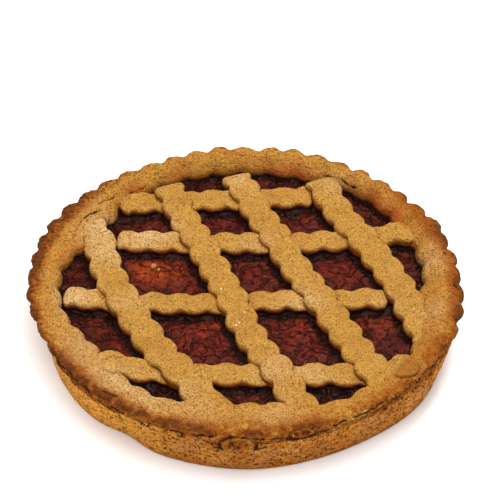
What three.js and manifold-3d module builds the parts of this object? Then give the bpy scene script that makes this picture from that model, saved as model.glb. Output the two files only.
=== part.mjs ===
// Blueberry jam tart, 200 mm across: a plain pastry case with leaning walls, filled with jam and
// closed by a lattice of eight fluted strips and a fluted rim band that is laid round the edge.
// Millimetres, +Z up. The origin is the centre of the flat underside. Angles run counter-clockwise
// from +X, so the back of the tart is at 90 degrees and its front, where the rim is folded over, at -90.
import * as THREE from 'three';
import { mergeVertices } from 'three/addons/utils/BufferGeometryUtils.js';
import Module from 'manifold-3d';

const wasm = await Module();
wasm.setup();

const { degToRad, lerp, smoothstep } = THREE.MathUtils;

// ---- Driving dimensions ----
const GAP = 0.3;                    // clearance between neighbouring pieces

const FOOT_RADIUS = 91.8;           // case, at the underside
const FOOT_ROUNDING = 0.8;
const WALL_LEAN = 0.26;             // outward run of the wall for each millimetre of height
const WALL_UNEVENNESS = 0.35;
const FLOOR_THICKNESS = 8;
const WALL_INNER_FOOT = 87.5;       // inner face of the wall, where it meets the floor
const WALL_INNER_TOP = 91.2;        // inner face of the wall, at the level of the jam
const WALL_RINGS = [0.4, 0.75];     // heights at which the wall is shaped, as shares of its full height
const WALL_TOP_CLEARANCE = 1.3 * GAP;
const LEDGE = 0.1;                  // how far the wall's inner edge stands above the jam
const CASE_STEPS = 100;

const JAM_LEVEL = 18.6;
const JAM_WRINKLE = 0.12;
const JAM_RINGS = 6;
const JAM_STEPS = 50;

const JAM_MARGIN = 1;               // smooth edge of the jam, outside its wrinkles
const JAM_WAVES = [{ across: 0.21, around: 5 }, { across: 0.13, around: -3 }];

const FLUTE_SHARPNESS = 0.22;       // makes the crests broad and the valleys narrow
const RIM_FLUTES = 50;              // scallops round the outer edge
const RIM_STEPS = 4 * RIM_FLUTES;
const RIM_CREST_ANGLE = 97.4;       // one scallop's tip
const RIM_FLUTE_DEPTH = 0.9;        // mean half depth, and how far it swings from back to front
const RIM_FLUTE_SWING = 0.8;
const RIM_INNER_FLUTES = 41;
const RIM_INNER_CREST_ANGLE = 201.2;
const RIM_INNER_DEPTH = 0.8;
const RIM_UNEVENNESS = 0.35;

// Humps of the slow unevenness round the tart: how many, their share, and how a shift turns them.
const WANDER_WAVES = [
  { count: 3, size: 0.5, turn: 1 }, { count: 7, size: 0.3, turn: 2.3 }, { count: 13, size: 0.2, turn: 4.1 },
];

// Section of the rim band as [radius, height], at the back, where it stands up with a sloping inner
// face, and at the front, where it is a broad shelf whose outer edge is folded down over the wall.
const RIM_BACK = {
  foot: [89.8, 19.1], edge: [90.7, 22.4], slope: [93.6, 26.2], brow: [96.6, 28.5], crest: [98.9, 29.2],
  lip: [100.6, 27.6], hem: [100.2, 24.8], seat: [98.2, 23.8], heel: [WALL_INNER_TOP, 19.1],
};
const RIM_FRONT = {
  foot: [78.0, 19.1], edge: [77.8, 23.6], slope: [82.0, 25.4], brow: [90.0, 26.4], crest: [95.0, 25.9],
  lip: [97.6, 24.3], hem: [97.9, 22.0], seat: [96.7, 21.2], heel: [WALL_INNER_TOP, 19.1],
};
const CREST_FLUTE_SHARE = 0.45;     // how much of the outer outline shows on the crest, and on the brow
const BROW_FLUTE_SHARE = 0.1;
const CREST_FLUTE_LIFT = 0.1;       // rise of the crest for each millimetre of a scallop
const SLOPE_FLUTE_SHARE = 0.6;      // how much of the inner edge's outline shows on the slope
const LIP_DROP_SHARE = 0.45;        // how much the lip goes down with a dropped hem
const LOBE_PROUD = 0.15;            // how far a dropped hem stands out for each millimetre of drop
const FOOT_MARGIN = 0.4;            // least width of the band's underside
const FOLD_START = 0.55;            // share of the front section at which the edge starts to fold
const FOLD_END = 0.95;

// Where the inner edge of the band runs wide or narrow: angle, reach in degrees, and amount.
const RIM_INNER_SWELLS = [
  { at: 50, reach: 15, by: 2 }, { at: 180, reach: 22, by: 2.5 }, { at: 210, reach: 13, by: -3.5 },
  { at: 243, reach: 12, by: 2 }, { at: 275, reach: 13, by: -2.5 }, { at: 298, reach: 11, by: 5 },
  { at: 322, reach: 18, by: 5.5 }, { at: 356, reach: 7, by: -3 }, { at: 142, reach: 7, by: -4.5 },
  { at: 157, reach: 6, by: -4.5 }, { at: 258, reach: 6, by: -9 },
];
// Where its outer edge runs wide or narrow.
const RIM_OUTER_SWELLS = [
  { at: 76, reach: 13, by: 2.2 }, { at: 97, reach: 5, by: 1.4 }, { at: 117, reach: 9, by: -1.3 },
  { at: 155, reach: 20, by: 2.4 }, { at: 203, reach: 14, by: -2.6 }, { at: 345, reach: 6, by: 0.8 },
  { at: 24, reach: 6, by: 2.0 },
];
// Pressed lobes and lifted stretches of the folded edge: angle, reach, and drop of the hem.
const HEM_DROPS = [
  { at: 268, reach: 4.6, by: 5.0 }, { at: 280, reach: 7, by: 0.4 }, { at: 248, reach: 13, by: -3.0 },
];
// Where the wall below it bulges or is dented.
const WALL_SWELLS = [
  { at: 234, reach: 7, by: -3.0 }, { at: 272, reach: 14, by: 0.8 }, { at: 328, reach: 17, by: 3.2 },
];
// Torn places of the outer edge: angle, reach, and depth.
const RIM_TEARS = [
  { at: 346, reach: 2.2, by: 2.2 }, { at: 3, reach: 2.5, by: 0.9 }, { at: 16, reach: 3.5, by: 1.1 },
  { at: 36.7, reach: 2.2, by: 1.0 }, { at: 85.6, reach: 3.0, by: 1.6 }, { at: 72.6, reach: 1.8, by: 0.9 },
];

// Lattice. The under strips lie on the jam, and the over strips cross them.
const UNDER_REST = 19.05;           // underside of an under strip
const UNDER_THICKNESS = 4.3;
const UNDER_DIP = 1.0;              // how much a crossing strip presses it down
const OVER_REST = 19.2;             // underside of an over strip between two crossings
const OVER_THICKNESS = 5.1;
const OVER_LIFT = 1.7;              // how much it is raised at a crossing
const OVER_SQUEEZE = 0.4;
const CROSSING_INNER = 5.5;         // a crossing is felt fully up to here, and not at all past CROSSING_OUTER
const CROSSING_OUTER = 11.5;
const STRIP_STEPS_PER_FLUTE = 4.8;
const STRIP_FLUTE_DEPTH = 0.95;
const STRIP_SHOULDER = 0.7;         // height of the widest line of the section, as a share of the thickness
const STRIP_TOP_INSET = 0.8;
const STRIP_BASE_INSET = 0.5;
const END_ROUNDING = 4.5;
const END_WIDTH_LEFT = 0.45;        // share of the width that is left at the very end
const RISE_FLAT = 8;                // stretch at a raised end that lies on the rim band
const RISE_REACH = 23;              // distance from the end at which its climb begins
const CROSSING_SAMPLES = 60;        // places along a strip that are tried for the nearest crossing

// Each strip: centre line, width, flute pitch, distance of the first crest from the start on the left
// and the right of its run, and climb of its two ends.
const OVER_STRIPS = [
  { path: [[-76.4, 47.2], [-70, 33.2], [-64.2, 12], [-56, -8.6], [-36.4, -45], [-21.6, -64.6], [-14.6, -79]],
    width: 15.2, pitch: 13.5, crests: [2.0, 6.2], rise: [1.6, 0] },
  { path: [[-38.9, 76.3], [-26.8, 44.5], [-14, 14.2], [1.8, -29.2], [12.9, -51.9], [26.4, -79.6]],
    width: 14.4, pitch: 12.5, crests: [2.5, 4.9], rise: [0.6, 0] },
  { path: [[-5.2, 85], [-0.4, 72.6], [22.7, 18.4], [47.2, -33.6], [60, -61.8]],
    width: 14.8, pitch: 12.5, crests: [12.5, 2.0], rise: [0.5, 0.4] },
  { path: [[35.9, 80.8], [48.9, 49.8], [66.2, 16.2], [76.9, -13.6], [82, -31.6]],
    width: 15.0, pitch: 12.6, crests: [10.0, 1.2], rise: [0.8, 0.4] },
];
const UNDER_STRIPS = [
  { path: [[-61.5, 61.6], [-50, 64.8], [-17, 66.9], [21, 69.2], [33, 70.1]],
    width: 13.8, pitch: 11.8, crests: [10.2, 11.2], rise: [0.3, 0] },
  { path: [[-62, 36.4], [-46, 35.7], [-4, 34.5], [31, 35.2], [66, 39.6], [82, 41]],
    width: 13.2, pitch: 11.8, crests: [4.8, 10.0], rise: [0, 1.6] },
  { path: [[-84.4, -4.2], [-33, -8.8], [12, -7], [52, -5.6], [66, -4.6]],
    width: 12.2, pitch: 12.3, crests: [5.2, 11.8], rise: [0.4, 0] },
  { path: [[-67.6, -48.6], [-56.8, -51.6], [-14, -55.6], [34, -55.6], [58, -56], [77.3, -55]],
    width: 12.6, pitch: 13.0, crests: [8.0, 8.6], rise: [3.2, 5.2] },
];

const PART_REACH = 120;             // beyond the edge of the tart
const END_FROM = 40;                // distance from the middle at which a strip's end begins

// ---- Materials ----
const crustMaterial = new THREE.MeshStandardMaterial({ color: 0xc08a48, roughness: 0.85, metalness: 0 });
const rimMaterial = new THREE.MeshStandardMaterial({ color: 0xc8924c, roughness: 0.85, metalness: 0 });
const overMaterial = new THREE.MeshStandardMaterial({ color: 0xd6a55c, roughness: 0.85, metalness: 0 });
const underMaterial = new THREE.MeshStandardMaterial({ color: 0xd2a058, roughness: 0.85, metalness: 0 });
const jamMaterial = new THREE.MeshStandardMaterial({ color: 0x4a1016, roughness: 0.2, metalness: 0 });

// ---- Shared forms ----

// Edge left by a fluted cutting wheel: broad crests, narrow valleys.
function flute(phase) {
  return Math.cos(phase) - FLUTE_SHARPNESS * Math.cos(2 * phase);
}

// Slow unevenness round the tart, between -1 and 1 and closed on itself.
function wander(angle, shift) {
  return WANDER_WAVES.reduce((sum, { count, size, turn }) => (
    sum + size * Math.sin(count * angle + turn * shift)
  ), 0);
}

// Sum of the local changes in a list, at an angle in degrees.
function localChange(list, angle) {
  let change = 0;
  for (const { at, reach, by } of list) {
    const away = ((angle - at + 540) % 360) - 180;
    change += by * Math.exp(-((away / reach) ** 2));
  }
  return change;
}

// Closed geometry as a solid: only positions are kept, shared vertices merged, flat triangles dropped.
function solidOf(geometry) {
  const bare = geometry.clone();
  bare.deleteAttribute('normal');
  bare.deleteAttribute('uv');
  const merged = mergeVertices(bare, 1e-4);
  const corners = merged.index.array;
  const kept = [];
  for (let i = 0; i < corners.length; i += 3) {
    const [a, b, c] = corners.slice(i, i + 3);
    if (a !== b && b !== c && c !== a) kept.push(a, b, c);
  }
  return new wasm.Manifold(new wasm.Mesh({
    numProp: 3,
    vertProperties: new Float32Array(merged.attributes.position.array),
    triVerts: new Uint32Array(kept),
  }));
}

function meshOf(solid, name, material) {
  const { vertProperties, triVerts } = solid.getMesh();
  const geometry = new THREE.BufferGeometry();
  geometry.setAttribute('position', new THREE.BufferAttribute(new Float32Array(vertProperties), 3));
  geometry.setIndex(new THREE.BufferAttribute(new Uint32Array(triVerts), 1));
  geometry.computeVertexNormals();
  const mesh = new THREE.Mesh(geometry, material.clone());
  mesh.name = name;
  return mesh;
}

// A turned solid whose section changes with the angle: profileAt gives [radius, height] points, as many
// at every angle, that run up the outside. A closed profile repeats its first point at the end.
function turnedSolid(profileAt, steps, firstAngle = 0) {
  const count = profileAt(firstAngle).length;
  const outline = Array.from({ length: count }, (_, j) => new THREE.Vector2(1, j));
  const geometry = new THREE.LatheGeometry(outline, steps);
  const position = geometry.attributes.position;
  for (let i = 0; i <= steps; i += 1) {
    const angle = firstAngle + (2 * Math.PI * (i % steps)) / steps;
    profileAt(angle).forEach(([radius, height], j) => {
      position.setXYZ(i * count + j, radius * Math.cos(angle), radius * Math.sin(angle), height);
    });
  }
  return solidOf(geometry);
}

// Moves every point of a closed loop outward by the gap, along the mean of its two sides' normals.
function swollen(loop, gap) {
  return loop.map(([r, z], i) => {
    const [rBefore, zBefore] = loop[(i + loop.length - 1) % loop.length];
    const [rAfter, zAfter] = loop[(i + 1) % loop.length];
    const side = new THREE.Vector2(rAfter - rBefore, zAfter - zBefore).normalize();
    return [r + gap * side.y, z - gap * side.x];
  });
}

// Block that keeps only one part of the tart, seen from above.
function part(xMin, xMax, yMin, yMax) {
  const block = new THREE.BoxGeometry(xMax - xMin, yMax - yMin, PART_REACH);
  block.translate((xMin + xMax) / 2, (yMin + yMax) / 2, 0);
  return solidOf(block);
}

// ---- Rim band ----

function rimSection(angle) {
  const degrees = THREE.MathUtils.radToDeg(angle);
  const front = (1 - Math.sin(angle)) / 2;
  const fold = smoothstep(front, FOLD_START, FOLD_END);
  const depth = RIM_FLUTE_DEPTH + RIM_FLUTE_SWING * Math.sin(angle);
  const scallop = depth * flute(RIM_FLUTES * (angle - degToRad(RIM_CREST_ANGLE)));
  const swell = localChange(RIM_OUTER_SWELLS, degrees);
  const outer = scallop + swell + RIM_UNEVENNESS * wander(angle, 1) - localChange(RIM_TEARS, degrees);
  const innerFlute = flute(RIM_INNER_FLUTES * (angle - degToRad(RIM_INNER_CREST_ANGLE)));
  const inner = localChange(RIM_INNER_SWELLS, degrees) - RIM_INNER_DEPTH * innerFlute;
  const drop = fold * localChange(HEM_DROPS, degrees);
  const uneven = RIM_UNEVENNESS * wander(angle, 2);
  const at = (point, share) => [
    lerp(RIM_BACK[point][0], RIM_FRONT[point][0], share),
    lerp(RIM_BACK[point][1], RIM_FRONT[point][1], front),
  ];
  const [heelRadius, heelHeight] = at('heel', front);
  const [footRadius, footHeight] = at('foot', front);
  const [edgeRadius, edgeHeight] = at('edge', front);
  const [slopeRadius, slopeHeight] = at('slope', front);
  const [browRadius, browHeight] = at('brow', front);
  const [crestRadius, crestHeight] = at('crest', fold);
  const [lipRadius, lipHeight] = at('lip', fold);
  const [hemRadius, hemHeight] = at('hem', fold);
  const [seatRadius, seatHeight] = at('seat', fold);
  return [
    [heelRadius, heelHeight],
    [seatRadius + swell, seatHeight - Math.min(drop, 0)],
    [hemRadius + outer + LOBE_PROUD * Math.max(drop, 0), hemHeight - drop],
    [lipRadius + outer, lipHeight - LIP_DROP_SHARE * drop],
    [crestRadius + CREST_FLUTE_SHARE * outer, crestHeight + CREST_FLUTE_LIFT * scallop + uneven],
    [browRadius + BROW_FLUTE_SHARE * outer, browHeight + uneven],
    [slopeRadius + SLOPE_FLUTE_SHARE * inner, slopeHeight],
    [edgeRadius + inner, edgeHeight - uneven],
    [Math.min(footRadius + inner, heelRadius - FOOT_MARGIN), footHeight],
  ];
}

function rimSolid(gap) {
  return turnedSolid((angle) => {
    const loop = swollen(rimSection(angle), gap);
    return [...loop, loop[0]];
  }, RIM_STEPS, degToRad(RIM_CREST_ANGLE));
}

// ---- Case and jam ----

function wallRadius(height) {
  return FOOT_RADIUS + WALL_LEAN * height;
}

function caseSolid() {
  return turnedSolid((angle) => {
    const [[heelRadius, heelHeight], [seatRadius, seatHeight]] = rimSection(angle);
    const bulge = localChange(WALL_SWELLS, THREE.MathUtils.radToDeg(angle));
    const swell = localChange(RIM_OUTER_SWELLS, THREE.MathUtils.radToDeg(angle));
    const topRadius = Math.min(wallRadius(seatHeight) + swell, seatRadius - WALL_TOP_CLEARANCE);
    const under = (topRadius - heelRadius) / (seatRadius - heelRadius);
    const topHeight = lerp(heelHeight, seatHeight, under) - WALL_TOP_CLEARANCE;
    const wall = (share) => {
      const height = share * topHeight;
      const uneven = WALL_UNEVENNESS * wander(angle, 3 + share);
      return [wallRadius(height) + bulge + share * swell + uneven, height];
    };
    return [
      [0, 0],
      [FOOT_RADIUS - FOOT_ROUNDING + bulge, 0],
      [wallRadius(FOOT_ROUNDING) + bulge, FOOT_ROUNDING],
      ...WALL_RINGS.map(wall),
      [topRadius, topHeight],
      [WALL_INNER_TOP, JAM_LEVEL + LEDGE],
      [WALL_INNER_FOOT, FLOOR_THICKNESS],
      [0, FLOOR_THICKNESS],
    ];
  }, CASE_STEPS);
}

function jamSolid() {
  const bottom = FLOOR_THICKNESS + GAP;
  const edge = WALL_INNER_TOP - 1.5 * GAP;
  return turnedSolid((angle) => {
    const profile = [[0, bottom], [WALL_INNER_FOOT - GAP, bottom], [edge, JAM_LEVEL - GAP]];
    for (let ring = JAM_RINGS; ring > 0; ring -= 1) {
      const radius = (edge - JAM_MARGIN) * (ring / JAM_RINGS);
      const wrinkle = JAM_WAVES.reduce((product, { across, around }) => (
        product * Math.sin(across * radius + around * angle)
      ), JAM_WRINKLE);
      profile.push([radius, JAM_LEVEL + wrinkle]);
    }
    profile.push([0, JAM_LEVEL]);
    return profile;
  }, JAM_STEPS);
}

// ---- Lattice strips ----

function centreLine(strip) {
  return new THREE.SplineCurve(strip.path.map(([x, y]) => new THREE.Vector2(x, y)));
}

// How strongly a place is under or over the nearest strip of the other layer, from 0 to 1.
function crossingShare(place, others) {
  const nearest = Math.min(...others.map((other) => Math.min(
    ...centreLine(other).getSpacedPoints(CROSSING_SAMPLES).map((point) => point.distanceTo(place)),
  )));
  return 1 - smoothstep(nearest, CROSSING_INNER, CROSSING_OUTER);
}

// Section across a strip: a flat base, sides that lean out to the shoulder, and a narrower top.
function stripSection(width, thickness) {
  const side = width / 2;
  const shoulder = STRIP_SHOULDER * thickness;
  return new THREE.Shape([
    new THREE.Vector2(-side + STRIP_BASE_INSET, 0),
    new THREE.Vector2(side - STRIP_BASE_INSET, 0),
    new THREE.Vector2(side, shoulder),
    new THREE.Vector2(side - STRIP_TOP_INSET, thickness),
    new THREE.Vector2(-side + STRIP_TOP_INSET, thickness),
    new THREE.Vector2(-side, shoulder),
  ]);
}

function stripSolid(strip, isOver, gap) {
  const line = centreLine(strip);
  const length = line.getLength();
  const steps = Math.round((length * STRIP_STEPS_PER_FLUTE) / strip.pitch);
  const thickness = isOver ? OVER_THICKNESS : UNDER_THICKNESS;
  const geometry = new THREE.ExtrudeGeometry(stripSection(strip.width, thickness), {
    depth: steps, steps, bevelEnabled: false,
  });
  const stations = Array.from({ length: steps + 1 }, (_, i) => {
    const share = i / steps;
    const run = share * length;
    const point = line.getPointAt(share);
    const along = line.getTangentAt(share);
    const crossing = crossingShare(point, isOver ? UNDER_STRIPS : OVER_STRIPS);
    const toEnd = Math.min(run, length - run);
    const roundness = Math.sqrt(1 - (1 - Math.min(toEnd / END_ROUNDING, 1)) ** 2);
    const narrowing = lerp(END_WIDTH_LEFT, 1, roundness);
    const climb = strip.rise[0] * (1 - smoothstep(run, RISE_FLAT, RISE_REACH))
      + strip.rise[1] * (1 - smoothstep(length - run, RISE_FLAT, RISE_REACH));
    const base = climb + (isOver ? OVER_REST + OVER_LIFT * crossing : UNDER_REST);
    const squeeze = isOver ? OVER_SQUEEZE * crossing : UNDER_DIP * crossing;
    return { run, point, along, narrowing, base, height: 1 - squeeze / thickness };
  });
  const position = geometry.attributes.position;
  for (let i = 0; i < position.count; i += 1) {
    const index = Math.round(position.getZ(i));
    const { run, point, along, narrowing, base, height } = stations[index];
    const across = position.getX(i);
    const side = Math.sign(across);
    const crest = side > 0 ? strip.crests[0] : strip.crests[1];
    const wave = STRIP_FLUTE_DEPTH * flute((2 * Math.PI * (run - crest)) / strip.pitch);
    const offset = narrowing * (across + side * wave) + side * gap;
    const overrun = (index === 0 ? -gap : 0) + (index === steps ? gap : 0);
    const lift = position.getY(i) * height + (position.getY(i) > 0 ? gap : -gap);
    position.setXYZ(
      i,
      point.x + along.x * overrun - along.y * offset,
      point.y + along.y * overrun + along.x * offset,
      base + lift,
    );
  }
  return solidOf(geometry);
}

// ---- Assembly ----

const backHalf = part(-PART_REACH, PART_REACH, 0, PART_REACH);
const frontHalf = part(-PART_REACH, PART_REACH, -PART_REACH, 0);
const leftEnd = part(-PART_REACH, -END_FROM, -PART_REACH, 0);
const rightEnd = part(END_FROM, PART_REACH, -PART_REACH, 0);
const rimClearance = rimSolid(GAP);

// The front ends of the over strips run under the band, and their back ends lie against it.
const lastOver = OVER_STRIPS.length - 1;
const overSolids = OVER_STRIPS.map((strip) => stripSolid(strip, true, 0)
  .subtract(rimClearance.intersect(frontHalf)));
const overClearance = OVER_STRIPS.map((strip) => stripSolid(strip, true, GAP));

// The under strips are pressed flat below the over strips. The frontmost one runs under the band
// on the left and lies over it on the right.
const lastUnder = UNDER_STRIPS.length - 1;
const underSolids = UNDER_STRIPS.map((strip, i) => {
  const pressed = overClearance.reduce((solid, over) => solid.subtract(over), stripSolid(strip, false, 0));
  return i === lastUnder ? pressed.subtract(rimClearance.intersect(leftEnd)) : pressed;
});
const underClearance = UNDER_STRIPS.map((strip) => stripSolid(strip, false, GAP));

let rim = rimSolid(0);
overClearance.forEach((over) => { rim = rim.subtract(over.intersect(backHalf)); });
underClearance.forEach((under, i) => {
  rim = rim.subtract(i === lastUnder ? under.intersect(rightEnd) : under);
});

const tart = new THREE.Group();
tart.name = 'jam_tart';
tart.add(meshOf(caseSolid(), 'crust_base', crustMaterial));
tart.add(meshOf(jamSolid(), 'jam_filling', jamMaterial));
tart.add(meshOf(rim, 'rim_band', rimMaterial));
underSolids.forEach((solid, i) => {
  tart.add(meshOf(solid, `lattice_under_${i + 1}`, underMaterial));
});
overSolids.forEach((solid, i) => {
  tart.add(meshOf(solid, `lattice_over_${i + 1}`, overMaterial));
});

export default tart;
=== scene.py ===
"""Looks of a round blueberry jam tart, 200 mm across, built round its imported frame.

A case of shortcrust is filled with dark jam. Eight fluted strips cross over the jam, four on four, and a
fluted band of the same dough is laid round the edge and folded down over the wall at the front.
Sizes are in millimetres until a mesh is written, because the frame is in metres. The front faces -Y, and
angles run counter-clockwise from +X.
"""

import logging
import math
from dataclasses import astuple, dataclass
from enum import Enum
from itertools import product

import bmesh
import bpy
import numpy as np
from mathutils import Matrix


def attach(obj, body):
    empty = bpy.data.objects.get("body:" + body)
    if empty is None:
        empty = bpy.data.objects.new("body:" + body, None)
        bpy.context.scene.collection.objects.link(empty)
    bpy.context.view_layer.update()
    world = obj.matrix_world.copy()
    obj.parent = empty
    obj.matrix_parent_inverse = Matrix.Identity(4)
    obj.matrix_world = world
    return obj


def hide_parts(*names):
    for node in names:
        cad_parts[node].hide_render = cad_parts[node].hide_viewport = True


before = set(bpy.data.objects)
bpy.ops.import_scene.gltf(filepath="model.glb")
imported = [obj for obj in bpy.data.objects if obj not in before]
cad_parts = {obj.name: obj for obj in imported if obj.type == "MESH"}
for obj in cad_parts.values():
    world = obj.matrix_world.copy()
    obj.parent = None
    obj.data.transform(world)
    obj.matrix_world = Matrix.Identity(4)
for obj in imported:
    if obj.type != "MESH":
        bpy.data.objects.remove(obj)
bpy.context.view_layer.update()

MM = 0.001
FULL_TURN = 2 * math.pi
FAR = 999.0
log = logging.getLogger("jam_tart")

Array = np.ndarray
Material = bpy.types.Material
Object = bpy.types.Object
Socket = bpy.types.NodeSocket
Colour = tuple[float, float, float, float]
Point = tuple[float, float]


# ---- Numbers and noise ----

LOW_BITS = 0xFFFFFFFF
CELL_MIXERS = (73856093, 19349663, 83492791)
SEED_MIXER = 2654435761
BIT_MIXERS = (2246822519, 3266489917)
SEED_SHIFT = 0.37
FRACTAL_RANGE = 1.4
VALLEY_SHARPNESS = 0.22
RAGGEDNESS = 0.45
RAGGED_SIZE = 9.0
# Waves of the slow unevenness round the tart: how many, how strong, and how far a shift moves them.
WANDER_WAVES = ((3, 0.5, 1.0), (7, 0.3, 2.3), (13, 0.2, 4.1))


@dataclass(frozen=True)
class Humps:
    """Smooth random unevenness: its strength, the width of one hump and a seed."""

    strength: float
    size: float
    seed: int

    def at(self, points: Array, seed: int = 0) -> Array:
        """The unevenness at some places, for a seed counted from its own."""
        return self.strength * noise(points, self.size, self.seed + seed)


@dataclass(frozen=True)
class Swell:
    """A local change round the tart: the angle it is at, its reach in degrees and its amount."""

    at: float
    reach: float
    by: float


@dataclass(frozen=True)
class Patch:
    """A round area of the tart seen from above: its centre, its reach and its strength."""

    x: float
    y: float
    reach: float
    strength: float


def swells(*rows: tuple[float, float, float]) -> tuple[Swell, ...]:
    """Makes local changes out of rows of numbers."""
    return tuple(Swell(*row) for row in rows)


def patches(*rows: tuple[float, float, float, float]) -> tuple[Patch, ...]:
    """Makes areas out of rows of numbers."""
    return tuple(Patch(*row) for row in rows)


def tone(red: int, green: int, blue: int) -> Colour:
    """Turns a colour on the 0 to 255 screen scale into a linear one, by the sRGB curve.

    Args:
        red: Red share, 0 to 255.
        green: Green share, 0 to 255.
        blue: Blue share, 0 to 255.

    Returns:
        The linear colour with full alpha.
    """
    shares = [value / 255 for value in (red, green, blue)]
    linear = [s / 12.92 if s <= 0.04045 else ((s + 0.055) / 1.055) ** 2.4 for s in shares]
    return (*linear, 1.0)


def clipped(value: Array) -> Array:
    """Keeps values between 0 and 1."""
    return np.clip(value, 0.0, 1.0)


def smoothstep(value: Array, low: float, high: float) -> Array:
    """Eases from 0 at low to 1 at high, in either order."""
    share = clipped((value - low) / (high - low))
    return share * share * (3.0 - 2.0 * share)


def hump(value: Array, centre: float, width: float) -> Array:
    """A soft hump: 1 at the centre, and about a third at one width from it."""
    return np.exp(-(((value - centre) / width) ** 2))


def blend(start: Array, end: Array, share: Array) -> Array:
    """Goes from start to end by share."""
    return start + (end - start) * share


def radius_of(points: Array) -> Array:
    """Distance of every point from the tart's axis."""
    return np.hypot(points[:, 0], points[:, 1])


def polar(angle: Array, radius: Array, height: Array) -> Array:
    """Places at an angle, a radius and a height."""
    return np.stack([radius * np.cos(angle), radius * np.sin(angle), height], axis=1)


def turn_between(start: Array, end: Array) -> Array:
    """The shorter turn from one angle to another in degrees, negative when it goes clockwise."""
    return (end - start + 540) % 360 - 180


def hashed(cell: Array, seed: int) -> Array:
    """Gives every whole-number cell its own repeatable value.

    Args:
        cell: Whole numbers, three for each cell.
        seed: Number that picks another set of values.

    Returns:
        One value between 0 and 1 for each cell.
    """
    first, second, third = (cell[:, axis] * mixer for axis, mixer in enumerate(CELL_MIXERS))
    mixed = (first ^ second ^ third ^ (seed * SEED_MIXER & LOW_BITS)) & LOW_BITS
    mixed = (mixed ^ (mixed >> 15)) * BIT_MIXERS[0] & LOW_BITS
    mixed = (mixed ^ (mixed >> 13)) * BIT_MIXERS[1] & LOW_BITS
    return (mixed ^ (mixed >> 16)) / LOW_BITS


def noise(points: Array, size: float, seed: int) -> Array:
    """Smooth random unevenness between -1 and 1.

    Args:
        points: Places, three numbers each.
        size: Width of one hump, in the points' own unit.
        seed: Number that picks another pattern.

    Returns:
        One value for each place.
    """
    scaled = points / size + SEED_SHIFT * seed
    cell = np.floor(scaled).astype(np.int64)
    fade = smoothstep(scaled - cell, 0.0, 1.0)
    total = np.zeros(len(points))
    for corner in product((0, 1), repeat=3):
        weight = np.prod(np.where(corner, fade, 1.0 - fade), axis=1)
        total += weight * hashed(cell + np.array(corner), seed)
    return 2.0 * total - 1.0


def fractal(points: Array, size: float, seed: int, octaves: int = 3) -> Array:
    """Sums noise at halving sizes and strengths.

    Args:
        points: Places, three numbers each.
        size: Width of the largest humps.
        seed: Number that picks another pattern.
        octaves: How many sizes are summed.

    Returns:
        One value for each place, mostly between -1 and 1.
    """
    total = np.zeros(len(points))
    for octave in range(octaves):
        total += noise(points, size / 2**octave, seed + octave) / 2**octave
    return total / FRACTAL_RANGE


def scattered(points: Array, size: float, seed: int) -> tuple[Array, Array]:
    """Finds the nearest of many scattered seeds, about one in each cell.

    Args:
        points: Places, three numbers each.
        size: Mean spacing of the seeds.
        seed: Number that picks another scatter.

    Returns:
        The distance to the nearest seed in spacings, and that seed's own chance between 0 and 1.
    """
    scaled = points / size
    cell = np.floor(scaled).astype(np.int64)
    nearest = np.full(len(points), FAR)
    chance = np.zeros(len(points))
    for step in product((-1, 0, 1), repeat=3):
        near = cell + np.array(step)
        centre = near + np.stack([hashed(near, seed + axis) for axis in range(3)], axis=1)
        distance = np.linalg.norm(scaled - centre, axis=1)
        closer = distance < nearest
        nearest[closer] = distance[closer]
        chance[closer] = hashed(near[closer], seed + 3)
    return nearest, chance


def flute(phase: Array) -> Array:
    """Edge left by a fluted cutting wheel: broad crests and narrow valleys."""
    return np.cos(phase) - VALLEY_SHARPNESS * np.cos(2 * phase)


def wander(angle: Array, shift: float) -> Array:
    """Slow unevenness round the tart, between -1 and 1 and closed on itself."""
    return sum(strong * np.sin(waves * angle + moved * shift) for waves, strong, moved in WANDER_WAVES)


def local_change(changes: tuple[Swell, ...], degrees: Array) -> Array:
    """Sums the local changes at some angles in degrees."""
    return sum(swell.by * hump(turn_between(swell.at, degrees), 0.0, swell.reach) for swell in changes)


def patched(areas: tuple[Patch, ...], points: Array) -> Array:
    """Sums soft areas with ragged borders.

    Args:
        areas: The areas.
        points: Places, three numbers each.

    Returns:
        The summed strength at each place, at most 1.
    """
    ragged = 1.0 + RAGGEDNESS * fractal(points, RAGGED_SIZE, 71)
    total = np.zeros(len(points))
    for patch in areas:
        away = np.hypot(points[:, 0] - patch.x, points[:, 1] - patch.y) / patch.reach
        total += patch.strength * hump(away * ragged, 0.0, 1.0)
    return clipped(total)


FLOUR = patches(
    (-68, 42, 10, 0.95), (-65, 26, 10, 0.8), (-46, 38, 11, 0.9), (-79, -6, 9, 0.8), (-3, 78, 8, 0.55),
    (26, -9, 10, 0.5), (-57, -63, 10, 0.75), (-42, -75, 10, 0.6), (-70, -40, 12, 0.45), (85, 17, 9, 0.45),
    (12, -56, 9, 0.5), (30, -57, 8, 0.45), (44, 77, 9, 0.35), (-20, -82, 12, 0.35), (14, -84, 9, 0.4),
    (-75, -20, 12, 0.3), (4, 30, 9, 0.35), (64, -14, 8, 0.3), (-50, -10, 8, 0.3), (86, -18, 8, 0.3))
STAINS = patches(
    (8, 84.5, 6, 1.0), (17, 83.5, 7, 1.0), (27, 81.5, 5, 1.0), (62, 64, 7, 0.9), (71, 52, 8, 1.0),
    (49, 72, 6, 0.8), (-32, 84, 6, 0.6), (-55, 71, 6, 0.6), (-80, 30, 5, 0.35), (-86, 22, 5, 0.3),
    (50, 62.5, 2, 0.9))


# ---- Meshes ----

# The sides of the solids' box, in millimetres: axis, direction and distance.
BOX_SIDES = ((0, -1, 101.6), (0, 1, 101.3), (1, -1, 98.7), (1, 1, 102.7), (2, 1, 29.48))
BOX_MARGIN = 1.2
# Vertices closer than this become one.
WELD_GAP = 0.002
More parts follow.
